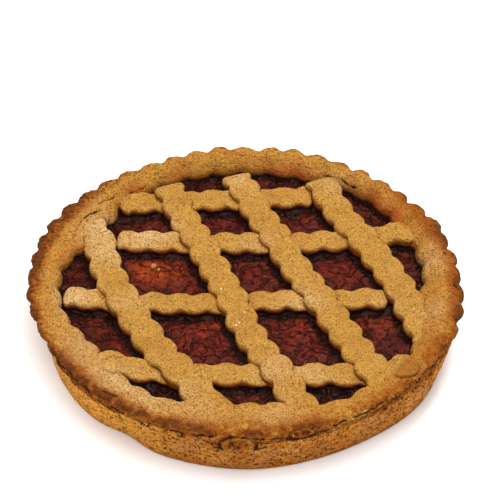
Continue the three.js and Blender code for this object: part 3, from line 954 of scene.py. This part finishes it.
@dataclass
class LatticeStrip:
    """One fluted strip of dough, from its centre line seen from above."""

    name: str
    layer: Layer
    path: tuple[Point, ...]
    width: float
    pitch: float
    crests: Point
    rise: Point
    flute_depth: float = 0.95
    flute_depths: Humps = Humps(0.3, 11.0, 7)
    edge_apart: float = 40
    shoulder: float = 0.72
    top_inset: float = 0.7
    base_inset: float = 0.2
    sunk: float = 0.9
    corner: float = 0.12
    corner_cuts: int = 4
    crown: float = 0.1
    end_rounding: float = 4.5
    end_width: float = 0.6
    end_fillet: float = 2.4
    end_crowding: float = 0.12
    rise_flat: float = 8.0
    rise_reach: float = 23.0
    crossing_inner: float = 5.5
    crossing_outer: float = 11.5
    line_steps: int = 80
    station_gap: float = 0.5
    base_weight: float = 0.3
    pit_spacing: float = 2.2
    pit_depth: float = 0.25

    def line(self) -> tuple[Array, Array]:
        """Follows the centre line closely.

        Returns:
            Points along it, and the distance run at each.
        """
        path = np.array(self.path)
        framed = np.vstack([path[:1], path, path[-1:]])
        last = len(path) - 2
        points = np.vstack([
            curved(framed[i:i + 4], np.linspace(0, 1, self.line_steps, endpoint=i == last)[:, None])
            for i in range(last + 1)])
        run = np.concatenate([[0.0], np.cumsum(np.linalg.norm(np.diff(points, axis=0), axis=1))])
        return points, run

    def section(self) -> Array:
        """Section across the strip, its corners rounded.

        Returns:
            A closed loop of points, each a place across and a height.
        """
        side = self.width / 2
        thickness = FORMS[self.layer].thickness
        half = np.array([
            [side - self.base_inset, -self.sunk], [side, self.shoulder * thickness],
            [side - self.top_inset, thickness], [side / 2, thickness + self.crown]])
        loop = np.vstack([[[0.0, -self.sunk]], half, half[::-1] * (-1, 1)])
        for _ in range(self.corner_cuts):
            after = np.roll(loop, -1, axis=0)
            near, far = 1 - self.corner, self.corner
            loop = np.stack([loop * near + after * far, loop * far + after * near], axis=1).reshape(-1, 2)
        loop = np.vstack([loop, loop[:1]])
        steps = np.linalg.norm(np.diff(loop, axis=0), axis=1)
        low = (loop[:-1, 1] + loop[1:, 1]) / 2 < 0.1 - self.sunk
        weight = np.concatenate([[0.0], np.cumsum(np.where(low, self.base_weight, 1.0) * steps)])
        even = np.linspace(0, weight[-1], int(round(weight[-1] / self.station_gap)) + 1)
        return np.stack([np.interp(even, weight, loop[:, k]) for k in range(2)], axis=1)

    def build(self, others: list["LatticeStrip"], finish: Material) -> Object:
        """Builds the strip as one closed skin.

        Args:
            others: The strips of the other layer, which it crosses.
            finish: The strip's material.

        Returns:
            The strip.
        """
        form = FORMS[self.layer]
        line, run = self.line()
        length = run[-1]
        loop = self.section()
        along = int(round(length / self.station_gap))
        skin, across, share = flat_sheet(self.name + "_crust", len(loop) - 1, along)
        place = length * blend(share, 0.5 - 0.5 * np.cos(np.pi * share), self.end_crowding)
        index = np.rint(across * (len(loop) - 1)).astype(int)
        point, later, sooner = (
            np.stack([np.interp(place + step, run, line[:, k]) for k in range(2)], axis=1)
            for step in (0, self.station_gap, -self.station_gap))
        ahead = (later - sooner) / np.linalg.norm(later - sooner, axis=1)[:, None]
        crossing = self.crossing(point, others)
        to_end = np.minimum(place, length - place)
        roundness, fillet = (
            np.sqrt(1 - (1 - clipped(to_end / reach)) ** 2) for reach in (self.end_rounding, self.end_fillet))
        narrow = blend(self.end_width, 1.0, roundness) * fillet
        climb = self.rise[0] * smoothstep(place, self.rise_reach, self.rise_flat)
        climb += self.rise[1] * smoothstep(length - place, self.rise_reach, self.rise_flat)
        height = 1 - form.squeeze * crossing / form.thickness
        sideways, up = loop[index, 0], loop[index, 1]
        crest = np.where(sideways > 0, *self.crests)
        edges = np.stack([place, self.edge_apart * np.sign(sideways), 0 * place], axis=1)
        phase = FULL_TURN * (place - crest) / self.pitch
        wave = self.flute_depth * (1 + self.flute_depths.at(edges)) * flute(phase)
        offset = narrow * sideways * (1 + wave / (self.width / 2))
        middle = form.thickness * 0.5
        level = form.rest + form.lift * crossing + climb + (middle + (up - middle) * fillet) * height
        skin.points = np.stack([
            point[:, 0] - ahead[:, 1] * offset, point[:, 1] + ahead[:, 0] * offset, level], axis=1)
        skin.set_mask("up", up / form.thickness)
        skin.close()
        self.finish(skin)
        return skin.piece(finish, "strip_pastry", self.name)

    def away(self, points: Array, every: int) -> Array:
        """Distance of places from the centre line seen from above, with every so many of its points."""
        line, _ = self.line()
        return np.min([np.hypot(points[:, 0] - x, points[:, 1] - y) for x, y in line[::every]], axis=0)

    def crossing(self, points: Array, others: list["LatticeStrip"]) -> Array:
        """How strongly each place lies over or under a strip of the other layer, 0 to 1."""
        nearest = np.min([other.away(points, 6) for other in others], axis=0)
        return smoothstep(nearest, self.crossing_outer, self.crossing_inner)

    def finish(self, skin: Skin) -> None:
        """Makes the strip's crumb and its masks for browning, flour and jam.

        Args:
            skin: The closed skin, with its mask of the height in thicknesses.
        """
        places, up = skin.points, skin.mask("up")
        seed = 80 + 5 * int(self.name[-1]) + 40 * self.layer.value
        pits, chance = scattered(places, self.pit_spacing, seed)
        holes = smoothstep(pits, 0.3, 0.12) * (chance > 0.8)
        skin.push(doughy(places, seed) - self.pit_depth * holes)
        blotch = fractal(places, 10.0, seed + 7)
        small = fractal(places, 3.0, seed + 8)
        # The sides grow browner towards the jam: partly browning, partly painted shade on the sides.
        flank = smoothstep(up, 0.92, 0.35)
        lump = 0.3 * smoothstep(radius_of(places), 86, 90) * smoothstep(places[:, 2], 24, 25)
        skin.set_masks(
            brown=0.08 + 0.14 * blotch + 0.08 * small + flank * (0.62 + 0.2 * small) + lump,
            flour=patched(FLOUR, places) - 0.8 * flank,
            soak=smoothstep(places[:, 2] + 0.7 * small, 22.3, 20.2),
            stain=0.7 * smoothstep(places[:, 2] + 0.5 * small, 23.4, 21.8) * smoothstep(up, 0.95, 0.75),
            crack=0.4 * holes, pores=0.15)


def lattice() -> list[LatticeStrip]:
    """The eight strips, four on the jam from back to front and four over them from left to right.

    Returns:
        The strips.
    """
    rows = {
        Layer.UNDER: (
            (((-61.5, 61.6), (-50, 64.8), (-17, 66.9), (21, 69.2), (33, 70.1)),
             13.8, 11.8, (10.2, 11.2), (0.3, 0)),
            (((-62, 36.4), (-46, 35.7), (-4, 34.5), (31, 35.2), (66, 39.6), (82, 41)),
             13.2, 11.8, (4.8, 10.0), (0, 1.6)),
            (((-84.4, -4.2), (-33, -8.8), (12, -7), (52, -5.6), (66, -4.6)),
             12.2, 12.3, (5.2, 11.8), (0.4, 0)),
            (((-67.6, -48.6), (-56.8, -51.6), (-14, -55.6), (34, -55.6), (58, -56), (77.3, -55)),
             12.6, 13.0, (8.0, 8.6), (3.2, 5.2))),
        Layer.OVER: (
            (((-76.4, 47.2), (-70, 33.2), (-64.2, 12), (-56, -8.6), (-36.4, -45), (-21.6, -64.6),
              (-12.2, -84)),
             15.2, 13.5, (2.0, 6.2), (1.6, 0)),
            (((-38.9, 76.3), (-26.8, 44.5), (-14, 14.2), (1.8, -29.2), (12.9, -51.9), (28.8, -84.5)),
             14.4, 12.5, (2.5, 4.9), (0.6, 0)),
            (((-5.2, 85), (-0.4, 72.6), (22.7, 18.4), (47.2, -33.6), (61.5, -65)),
             14.8, 12.5, (12.5, 2.0), (0.5, 0.4)),
            (((35.9, 80.8), (48.9, 49.8), (66.2, 16.2), (76.9, -13.6), (83.4, -36.4)),
             15.0, 12.6, (10.0, 1.2), (0.8, 0.4))),
    }
    return [LatticeStrip(f"lattice_{layer.name.lower()}_{number}", layer, *row)
            for layer, strips in rows.items() for number, row in enumerate(strips, 1)]


# ---- Jam ----


@dataclass
class JamFilling:
    """The jam up to its wrinkled skin, darkest and full of bubbles where it meets the dough.

    The dark edge is wider behind a strip, where the shift takes it: that wider part is a painted shadow cast
    by the strip.
    chance is above that of lone bubbles.
    """

    strips: list[LatticeStrip]
    band: RimBand
    radius: float = 90.7
    foot_radius: float = 87.2
    level: float = 18.6
    depth: float = 10.3
    cells: int = 290
    wrinkle: float = 0.36
    bubble: float = 0.3
    meniscus: float = 0.9
    meniscus_reach: float = 1.1
    warp: float = 3.6
    raggedness: float = 1.5
    bubble_spacing: float = 1.5
    lone_bubbles: float = 0.93
    back_shift: tuple[float, float, float] = (0.6, 3.2, 0.0)
    swell: Humps = Humps(0.25, 12.0, 97)
    ridge: Humps = Humps(2.0, 5.0, 94)
    fine_ridge: Humps = Humps(2.0, 2.2, 95)
    amber: tuple[Patch, ...] = patches(
        (-47, 19, 8, 1.0), (-36, 15, 7, 0.7), (-8, 74, 4, 0.5), (3, 78, 5, 0.5))
    glow: tuple[Patch, ...] = patches(
        (-18, -22, 11, 0.9), (30, -22, 11, 0.8), (64, -18, 8, 0.9), (-30, 18, 12, 0.6),
        (8, 20, 9, 0.5), (46, 16, 7, 0.4), (-55, -22, 8, 0.4))

    def shore(self, points: Array) -> Array:
        """Distance of each place from the nearest strip or the band, negative under the dough."""
        edges = [strip.away(points, 5) - strip.width / 2 for strip in self.strips]
        inner = self.band.controls(np.arctan2(points[:, 1], points[:, 0]))[:, 7, 0]
        return np.minimum(np.min(edges, axis=0), inner - radius_of(points))

    def disc(self) -> tuple[Skin, Array, Array]:
        """Makes a slab out of a square grid, to be made round.

        Returns:
            The skin, the round slab's places for its vertices, and which of them are on top.
        """
        shape = bmesh.new()
        bmesh.ops.create_grid(shape, x_segments=self.cells, y_segments=self.cells, size=1.0)
        rim = [edge for edge in shape.edges if edge.is_boundary]
        wall = bmesh.ops.extrude_edge_only(shape, edges=rim)["geom"]
        lower = [part for part in wall if isinstance(part, bmesh.types.BMVert)]
        bmesh.ops.translate(shape, verts=lower, vec=(0, 0, -1))
        shape.faces.new(sorted(lower, key=lambda vert: math.atan2(vert.co.y, vert.co.x)))
        shape.faces.sort(key=row_order)
        bmesh.ops.recalc_face_normals(shape, faces=shape.faces)
        skin = Skin("jam_body", shape)
        square = skin.points
        top = square[:, 2] > -0.5
        reach = np.where(top, self.radius, self.foot_radius)
        sides = (reach * (square[:, k] * np.sqrt(1 - square[:, 1 - k] ** 2 / 2)) for k in range(2))
        return skin, np.stack([*sides, np.where(top, self.level, self.level - self.depth)], axis=1), top

    def build(self, finish: Material) -> Object:
        """Builds the jam as one closed body with a finely wrinkled top.

        Args:
            finish: The jam's material.

        Returns:
            The jam.
        """
        skin, flat, top = self.disc()
        shore = self.shore(flat)
        # Painted shadow: the dark edge is carried further out on one side of each strip, by the shift.
        north = self.shore(flat + np.array(self.back_shift))
        ragged = self.raggedness * fractal(flat, 4.0, 91)
        edge = np.maximum(smoothstep(shore + ragged, 3.2, 0.9), smoothstep(north + ragged, 2.2, -0.4))
        warped = flat + self.warp * np.stack([noise(flat, 7.0, 92), noise(flat, 7.0, 93), 0 * shore], axis=1)
        ridges, fine = (1 - np.abs(humps.at(warped)) for humps in (self.ridge, self.fine_ridge))
        pits, chance = scattered(flat, self.bubble_spacing, 96)
        bubbles = np.sqrt(clipped(1 - (pits / (0.35 + 0.35 * chance)) ** 2))
        lone = bubbles * (chance > self.lone_bubbles) * 0.5
        meniscus = self.meniscus * np.exp(-np.clip(shore, 0, 20) / self.meniscus_reach)
        rise = self.wrinkle * (ridges + 0.35 * fine) * (1 - 0.5 * edge)
        rise = rise + self.bubble * (bubbles * edge + lone) + meniscus + self.swell.at(flat)
        flat[:, 2] += np.where(top, rise, 0.0)
        skin.points = flat
        # Painted shade in the valleys between wrinkles.
        creases = 0.6 * smoothstep(ridges + 0.4 * fine, 0.0, -0.9)
        # Darker towards the rim, and painted shade over the narrow front holes.
        baked = 0.55 * smoothstep(radius_of(flat) + 1.5 * ragged, 66, 78)
        baked += 0.45 * smoothstep(-flat[:, 1] + ragged, 52, 60)
        # The dark mask: dark jam along the dough, its painted shadow beside the strips, and the painted
        # shade.
        skin.set_masks(
            shore=np.maximum(np.maximum(edge, creases), baked * (0.75 + 0.25 * ridges)),
            amber=patched(self.amber, flat), glow=patched(self.glow, flat) * clipped(0.55 + 0.6 * ridges))
        return skin.piece(finish, "jam", "jam_filling")


# ---- Materials ----

MASKS = ("Brown", "Flour", "Soak", "Stain", "Crack", "Pores")
COLOURS = ("Golden", "Browned", "Burnt", "Floury", "Soaked", "Stained")
# Near black: painted shade at the bottom of cracks and of the lines round the lobes.
CRACK_BOTTOM = tone(28, 12, 4)


class NodeSheet:
    """Adds and links shader nodes in one tree."""

    def __init__(self, tree: bpy.types.NodeTree) -> None:
        """Takes the tree to work on."""
        self.tree = tree

    def add(self, kind: str, inputs: dict, **settings: object) -> bpy.types.Node:
        """Adds a node.

        Args:
            kind: The node's type.
            inputs: Socket name or index to a value or to the socket that feeds it.
            settings: The node's own options.

        Returns:
            The node.
        """
        node = self.tree.nodes.new(kind)
        for option, value in settings.items():
            setattr(node, option, value)
        self.feed(node, inputs)
        return node

    def feed(self, node: bpy.types.Node, inputs: dict) -> None:
        """Sets a node's inputs to values, or links them to the sockets that feed them.

        Args:
            node: The node.
            inputs: Socket name or index to a value or to the socket that feeds it.
        """
        for socket, value in inputs.items():
            if isinstance(value, Socket):
                self.tree.links.new(value, node.inputs[socket])
            else:
                node.inputs[socket].default_value = value

    def math(self, operation: str, first: object, second: object, clamp: bool = False) -> Socket:
        """Adds an operation on two values."""
        node = self.add("ShaderNodeMath", {0: first, 1: second}, operation=operation, use_clamp=clamp)
        return node.outputs[0]

    def times(self, first: object, second: object, clamp: bool = False) -> Socket:
        """Multiplies two values."""
        return self.math("MULTIPLY", first, second, clamp)

    def plus(self, first: object, second: object, clamp: bool = False) -> Socket:
        """Adds two values."""
        return self.math("ADD", first, second, clamp)

    def larger(self, first: object, second: object) -> Socket:
        """The larger of two values."""
        return self.math("MAXIMUM", first, second)

    def mix(self, share: object, first: object, second: object, how: str = "MIX") -> Socket:
        """Mixes two colours by a share."""
        node = self.add("ShaderNodeMix", {0: share, 6: first, 7: second}, data_type="RGBA", blend_type=how)
        return node.outputs[2]

    def shaded(self, colour: object, amount: object) -> Socket:
        """Makes a colour lighter or darker by an amount."""
        return self.mix(1.0, colour, amount, "MULTIPLY")

    def noise(self, place: object, size: float, detail: float = 2.0, rough: float = 0.5,
              warp: float = 0.0) -> Socket:
        """Noise between 0 and 1 whose humps are about that many millimetres wide."""
        inputs = {"Vector": place, "Scale": 1 / (size * MM), "Detail": detail, "Roughness": rough,
                  "Distortion": warp}
        return self.add("ShaderNodeTexNoise", inputs).outputs[0]

    def flecks(self, place: object, size: float, share: float) -> Socket:
        """Adds round flecks in a share of scattered cells.

        Args:
            place: The place on the piece.
            size: How far apart the cells are, in millimetres.
            share: How many of the cells have a fleck, 0 to 1.

        Returns:
            The flecks.
        """
        cells = self.add("ShaderNodeTexVoronoi", {"Vector": place, "Scale": 1 / (size * MM)})
        chance = self.add("ShaderNodeSeparateColor", {0: cells.outputs["Color"]}).outputs[0]
        near = self.band(cells.outputs["Distance"], 0.46, 0.26)
        return self.times(near, self.math("LESS_THAN", chance, share))

    def band(self, value: object, low: float, high: float, least: float = 0.0,
             most: float = 1.0) -> Socket:
        """Eases a value from least at low to most at high."""
        inputs = {"Value": value, "From Min": low, "From Max": high, "To Min": least, "To Max": most}
        return self.add("ShaderNodeMapRange", inputs, interpolation_type="SMOOTHSTEP").outputs[0]

    def mask(self, name: str) -> Socket:
        """Reads a mask of the piece."""
        return self.add("ShaderNodeAttribute", {}, attribute_name=name).outputs["Fac"]

    def place(self) -> Socket:
        """The place on the piece, in metres."""
        return self.add("ShaderNodeTexCoord", {}).outputs["Object"]

    def surface(self, colour: object, rough: object, height: object, relief: float, **others: object) -> None:
        """Feeds the material's main shader.

        Args:
            colour: Its colour.
            rough: Its roughness.
            height: The height of its grain.
            relief: How deep a height of 1 is, in millimetres.
            others: More of its inputs, with _ for each space.
        """
        bump = self.add("ShaderNodeBump", {"Height": height, "Distance": relief * MM, "Strength": 1.0})
        inputs = {"Base Color": colour, "Roughness": rough, "Normal": bump.outputs[0]}
        more = {name.replace("_", " "): value for name, value in others.items()}
        self.feed(self.tree.nodes["Principled BSDF"], inputs | more)


def started(name: str) -> tuple[Material, NodeSheet]:
    """Starts a material, and a sheet to add nodes with."""
    made = bpy.data.materials.new(name)
    made.use_nodes = True
    return made, NodeSheet(made.node_tree)


def dough_group() -> bpy.types.NodeTree:
    """Builds the baked wholemeal dough that all pastry shares.

    Returns:
        The node group.
    """
    group = bpy.data.node_groups.new("baked_dough", "ShaderNodeTree")
    for side, kind, names in (("INPUT", "Float", MASKS), ("INPUT", "Color", COLOURS),
                              ("OUTPUT", "Color", ("Colour",)), ("OUTPUT", "Float", ("Roughness", "Height"))):
        for name in names:
            group.interface.new_socket(name, in_out=side, socket_type="NodeSocket" + kind)
    sheet = NodeSheet(group)
    given = {socket.name: socket for socket in sheet.add("NodeGroupInput", {}).outputs if socket.name}
    place = sheet.place()
    broad = sheet.noise(place, 9.0, 3.0, 0.55)
    medium = sheet.noise(place, 2.6, 3.0, 0.6)
    fine = sheet.noise(place, 0.75, 2.0, 0.6)

    uneven = sheet.times(sheet.math("SUBTRACT", broad, 0.5), 0.4)
    for part, share in ((medium, 0.7), (fine, 0.6)):
        uneven = sheet.plus(uneven, sheet.times(sheet.math("SUBTRACT", part, 0.5), share))
    brown = sheet.plus(given["Brown"], uneven, True)
    colour = sheet.mix(sheet.band(brown, 0.0, 0.62), given["Golden"], given["Browned"])
    colour = sheet.mix(sheet.band(brown, 0.6, 1.15), colour, given["Burnt"])
    # Grain tone, darker where the grain is low: partly the dough's own tone, partly painted shade.
    grit = sheet.times(sheet.band(fine, 0.34, 0.66, 0.7, 1.3), sheet.band(medium, 0.3, 0.7, 0.92, 1.08))
    colour = sheet.shaded(colour, grit)

    pale = sheet.larger(sheet.flecks(place, 1.0, 0.34), sheet.flecks(place, 1.9, 0.16))
    colour = sheet.shaded(colour, sheet.plus(1.0, sheet.times(pale, 0.22)))
    speckled = sheet.plus(sheet.band(medium, 0.32, 0.6, 0.0, 0.35), sheet.band(fine, 0.36, 0.56, 0.0, 0.65))
    dusty = sheet.times(given["Flour"], speckled)
    colour = sheet.mix(sheet.times(dusty, 0.85), colour, given["Floury"])
    bran = sheet.larger(sheet.flecks(place, 0.85, 0.36), sheet.flecks(place, 1.5, 0.16))
    branny = sheet.mix(0.14, given["Browned"], given["Burnt"])
    colour = sheet.mix(sheet.times(bran, 0.75), colour, branny)
    stained = sheet.times(given["Stain"], sheet.band(medium, 0.2, 0.5), True)
    colour = sheet.mix(sheet.times(stained, 0.85), colour, given["Stained"])
    colour = sheet.mix(given["Soak"], colour, given["Soaked"])

    # Painted shade: pores and cracks are darkened towards the darkest dough colour, the deepest cracks
    # towards near black; pores also sink the bump.
    pore = sheet.larger(sheet.flecks(place, 1.25, 0.42), sheet.flecks(place, 2.2, 0.34))
    pore = sheet.times(pore, given["Pores"])
    dark = sheet.larger(sheet.times(pore, 0.8), sheet.band(given["Crack"], 0.2, 0.8))
    colour = sheet.mix(sheet.times(dark, 0.85), colour, given["Burnt"])
    colour = sheet.mix(sheet.times(sheet.band(given["Crack"], 0.45, 0.95), 0.75), colour, CRACK_BOTTOM)
    rough = sheet.math("SUBTRACT", 0.86, sheet.times(sheet.larger(given["Soak"], given["Stain"]), 0.45))
    height = sheet.plus(sheet.times(fine, 0.6), sheet.times(medium, 0.6))
    height = sheet.plus(height, sheet.times(pale, 0.3))
    sunk = sheet.plus(sheet.times(pore, 1.2), sheet.times(bran, 0.25))
    height = sheet.math("SUBTRACT", height, sunk)
    sheet.add("NodeGroupOutput", {"Colour": colour, "Roughness": rough, "Height": height})
    return group


@dataclass(frozen=True)
class PastryFinish:
    """Colours of one kind of baked pastry, its shine, and how deep its grain is in millimetres."""

    name: str
    golden: Colour
    browned: Colour
    # The darkest dough, for the darkest browning and bran, and also the colour of painted shade in pores and
    # cracks.
    burnt: Colour = tone(84, 42, 14)
    floury: Colour = tone(212, 178, 128)
    soaked: Colour = tone(34, 12, 7)
    stained: Colour = tone(172, 78, 28)
    grain: float = 0.75
    shine: float = 0.09

    def material(self, dough: bpy.types.NodeTree) -> Material:
        """Makes the material.

        Args:
            dough: The shared dough group.

        Returns:
            The material.
        """
        made, sheet = started(self.name)
        masks = {name: sheet.mask(name.lower()) for name in MASKS}
        colours = {name: getattr(self, name.lower()) for name in COLOURS}
        out = sheet.add("ShaderNodeGroup", masks | colours, node_tree=dough).outputs
        sheet.surface(out["Colour"], out["Roughness"], out["Height"], self.grain,
                      Specular_IOR_Level=self.shine)
        return made


@dataclass(frozen=True)
class JamFinish:
    """Colours of the jam, its shine and that shine's tint, and how deep its grain is in millimetres."""

    name: str = "dark_jam"
    deep: Colour = tone(64, 17, 12)
    red: Colour = tone(118, 36, 16)
    amber: Colour = tone(124, 46, 12)
    # Near black: blackened jam along the dough, and also the colour of painted shadow and shade.
    charred: Colour = tone(17, 6, 5)
    roughness: float = 0.08
    grain: float = 1.0
    shine: float = 0.11
    shine_tint: Colour = (1.0, 0.6, 0.48, 1.0)

    def material(self) -> Material:
        """Makes the material.

        Returns:
            The material.
        """
        made, sheet = started(self.name)
        place = sheet.place()
        streaks = sheet.noise(place, 2.8, 3.0, 0.6)
        wavy = sheet.math("SUBTRACT", sheet.noise(place, 8.0, 2.0, 0.45, 0.8), 0.5)
        wavy = sheet.math("ABSOLUTE", wavy, 0.0)
        lumps = sheet.noise(place, 7.0, 2.0, 0.5)
        fine = sheet.noise(place, 1.1, 2.0, 0.6)

        glow = sheet.times(sheet.mask("glow"), sheet.band(streaks, 0.38, 0.66))
        clear = sheet.times(sheet.band(lumps, 0.5, 0.75), 0.35)
        colour = sheet.mix(sheet.larger(glow, clear), self.deep, self.red)
        amber = sheet.times(sheet.mask("amber"), sheet.band(streaks, 0.2, 0.6))
        colour = sheet.mix(amber, colour, self.amber)
        # Uneven tone, darker along each wavy crease as painted shade.
        mottled = sheet.band(streaks, 0.36, 0.64, 0.66, 1.34)
        mottled = sheet.times(mottled, sheet.band(fine, 0.34, 0.66, 0.85, 1.16))
        mottled = sheet.times(mottled, sheet.band(wavy, 0.0, 0.05, 0.55, 1.06))
        colour = sheet.shaded(colour, mottled)
        # Painted highlight: thin lighter lines beside each crease, in the amber colour.
        crests = sheet.times(sheet.band(wavy, 0.06, 0.1), sheet.band(wavy, 0.17, 0.11))
        colour = sheet.mix(sheet.times(crests, 0.22), colour, self.amber)
        # Blackened jam along the dough, with painted shadow and shade, from the dark mask.
        colour = sheet.mix(sheet.times(sheet.mask("shore"), 0.93), colour, self.charred)

        height = sheet.plus(sheet.times(streaks, 0.6), sheet.times(fine, 0.5))
        height = sheet.plus(height, sheet.times(sheet.band(wavy, 0.0, 0.06), 0.5))
        rough = sheet.band(fine, 0.3, 0.7, self.roughness * 0.6, self.roughness * 1.6)
        sheet.surface(colour, rough, height, self.grain,
                      Specular_IOR_Level=self.shine, Specular_Tint=self.shine_tint)
        return made


@dataclass(frozen=True)
class FloorFinish:
    """The pale floor that the tart stands on."""

    name: str = "pale_floor"
    base: Colour = (0.97, 0.97, 0.97, 1.0)
    roughness: float = 0.9
    shine: float = 0.1
    glow: float = 0.12

    def material(self) -> Material:
        """Makes the material.

        Returns:
            The material.
        """
        made, sheet = started(self.name)
        sheet.feed(sheet.tree.nodes["Principled BSDF"], {
            "Base Color": self.base, "Roughness": self.roughness, "Specular IOR Level": self.shine,
            "Emission Color": self.base, "Emission Strength": self.glow})
        return made


# ---- Crumbs ----


@dataclass
class Crumbs:
    """Loose crumbs of pastry and a few grains of sugar that lie on the tart, each a place and a radius."""

    crumbs: tuple[tuple[float, float, float, float], ...] = (
        (-43.5, 20.4, 19.4, 1.5), (-41.0, 18.2, 19.3, 0.8), (40.5, 60.0, 19.5, 0.9),
        (-20.5, -60.5, 19.5, 0.8))
    sugar: tuple[tuple[float, float, float, float], ...] = (
        (-4.2, -26.0, 24.4, 0.35), (-2.6, -24.6, 24.5, 0.3), (-0.5, -17.5, 24.6, 0.28),
        (-11.0, -2.0, 25.3, 0.25))
    crumb_lumps: Humps = Humps(0.3, 0.7, 3)
    sugar_lumps: Humps = Humps(0.3, 0.7, 4)

    def scatter(self, name: str, grains: tuple, lumps: Humps) -> Skin:
        """Builds small lumpy grains as one mesh.

        Args:
            name: Name of the mesh.
            grains: Place and radius of each.
            lumps: How uneven they are.

        Returns:
            The skin.
        """
        shape = bmesh.new()
        for *place, radius in grains:
            ball = bmesh.ops.create_icosphere(shape, subdivisions=2, radius=radius)["verts"]
            bmesh.ops.translate(shape, verts=ball, vec=place)
        skin = Skin(name, shape)
        skin.push(lumps.at(skin.points))
        return skin

    def build(self, pastry: Material, white: Material) -> None:
        """Builds both kinds.

        Args:
            pastry: The crumbs' material.
            white: The sugar's material.
        """
        crumb = self.scatter("crumbs", self.crumbs, self.crumb_lumps)
        crumb.set_masks(brown=0.0, flour=0.2, soak=0.0, stain=0.2, crack=0.0, pores=0.0)
        crumb.piece(pastry, "strip_pastry")
        self.scatter("sugar_grains", self.sugar, self.sugar_lumps).piece(white, "strip_pastry")


# ---- Studio ----


@dataclass(frozen=True)
class SoftBox:
    """A square soft light that faces the middle of the floor: its place and side in metres, and its watts."""

    name: str
    place: tuple[float, float, float]
    size: float
    power: float
    colour: tuple[float, float, float] = (1.0, 1.0, 1.0)


@dataclass
class Studio:
    """Pale floor, soft light and the camera, in metres."""

    camera_place: tuple[float, float, float] = (0.0022853, -0.6727307, 0.6236961)
    camera_tilt: float = 49.406
    lens: float = 139.49
    sensor: float = 36.0
    floor_size: float = 6.0
    room_light: float = 0.34
    lights: tuple[SoftBox, ...] = (
        SoftBox("softbox", (0.0, -0.15, 1.3), 1.2, 18.0),
        SoftBox("key", (0.35, 0.55, 1.0), 0.3, 6.5, (1.0, 0.99, 0.97)),
        SoftBox("fill", (-0.4, -1.0, 0.9), 0.6, 2.5))

    def build(self) -> None:
        """Sets up everything round the tart."""
        self.add_floor()
        for light in self.lights:
            self.add_light(light)
        self.add_room()
        self.add_camera()
        bpy.context.scene.view_settings.view_transform = "Standard"

    def add_floor(self) -> None:
        """Lays the floor just under the tart."""
        shape = bmesh.new()
        bmesh.ops.create_grid(shape, x_segments=1, y_segments=1, size=self.floor_size / 2)
        mesh = Skin("floor", shape).mesh
        mesh.materials.append(FloorFinish().material())
        placed("floor", mesh)

    def add_light(self, box: SoftBox) -> None:
        """Adds a soft light.

        Args:
            box: The light.
        """
        data = bpy.data.lights.new(box.name, "AREA")
        data.size = box.size
        data.energy = box.power
        data.color = box.colour
        light = placed(box.name, data)
        x, y, z = -np.array(box.place)
        light.location = box.place
        light.rotation_euler = (math.atan2(math.hypot(x, y), -z), 0.0, math.atan2(y, x) - math.pi / 2)

    def add_room(self) -> None:
        """Adds the even light of the room."""
        world = bpy.data.worlds.new("room")
        world.use_nodes = True
        sky = world.node_tree.nodes["Background"]
        sky.inputs["Color"].default_value = (1.0, 1.0, 1.0, 1.0)
        sky.inputs["Strength"].default_value = self.room_light
        bpy.context.scene.world = world

    def add_camera(self) -> None:
        """Adds the camera at the viewing angle of a tart seen from its front, a little over 40 degrees up."""
        data = bpy.data.cameras.new("camera")
        data.lens = self.lens
        data.sensor_width = self.sensor
        camera = placed("camera", data)
        camera.location = self.camera_place
        camera.rotation_euler = (math.radians(self.camera_tilt), 0.0, 0.0)
        bpy.context.scene.camera = camera


def main() -> None:
    """Builds the tart's pieces in order, then the studio."""
    logging.basicConfig(level=logging.INFO, format="%(message)s")
    dough = dough_group()
    rim, wall, strip, sugar = (finish.material(dough) for finish in (
        PastryFinish("rim_dough", tone(180, 128, 54), tone(144, 78, 20), grain=1.0),
        PastryFinish("case_dough", tone(230, 157, 54), tone(178, 101, 24), tone(64, 29, 9), grain=1.2),
        PastryFinish("strip_dough", tone(174, 128, 58), tone(142, 82, 22)),
        PastryFinish("sugar", tone(250, 240, 225), tone(250, 240, 225), tone(230, 210, 180),
                     tone(255, 250, 245))))
    jam = JamFinish().material()
    band = RimBand()
    strips = lattice()
    PastryCase(band).build(wall)
    band.build(rim)
    JamFilling(strips, band).build(jam)
    for made in strips:
        made.build([other for other in strips if other.layer is not made.layer], strip)
    Crumbs().build(strip, sugar)
    Studio().build()


if __name__ == "__main__":
    main()
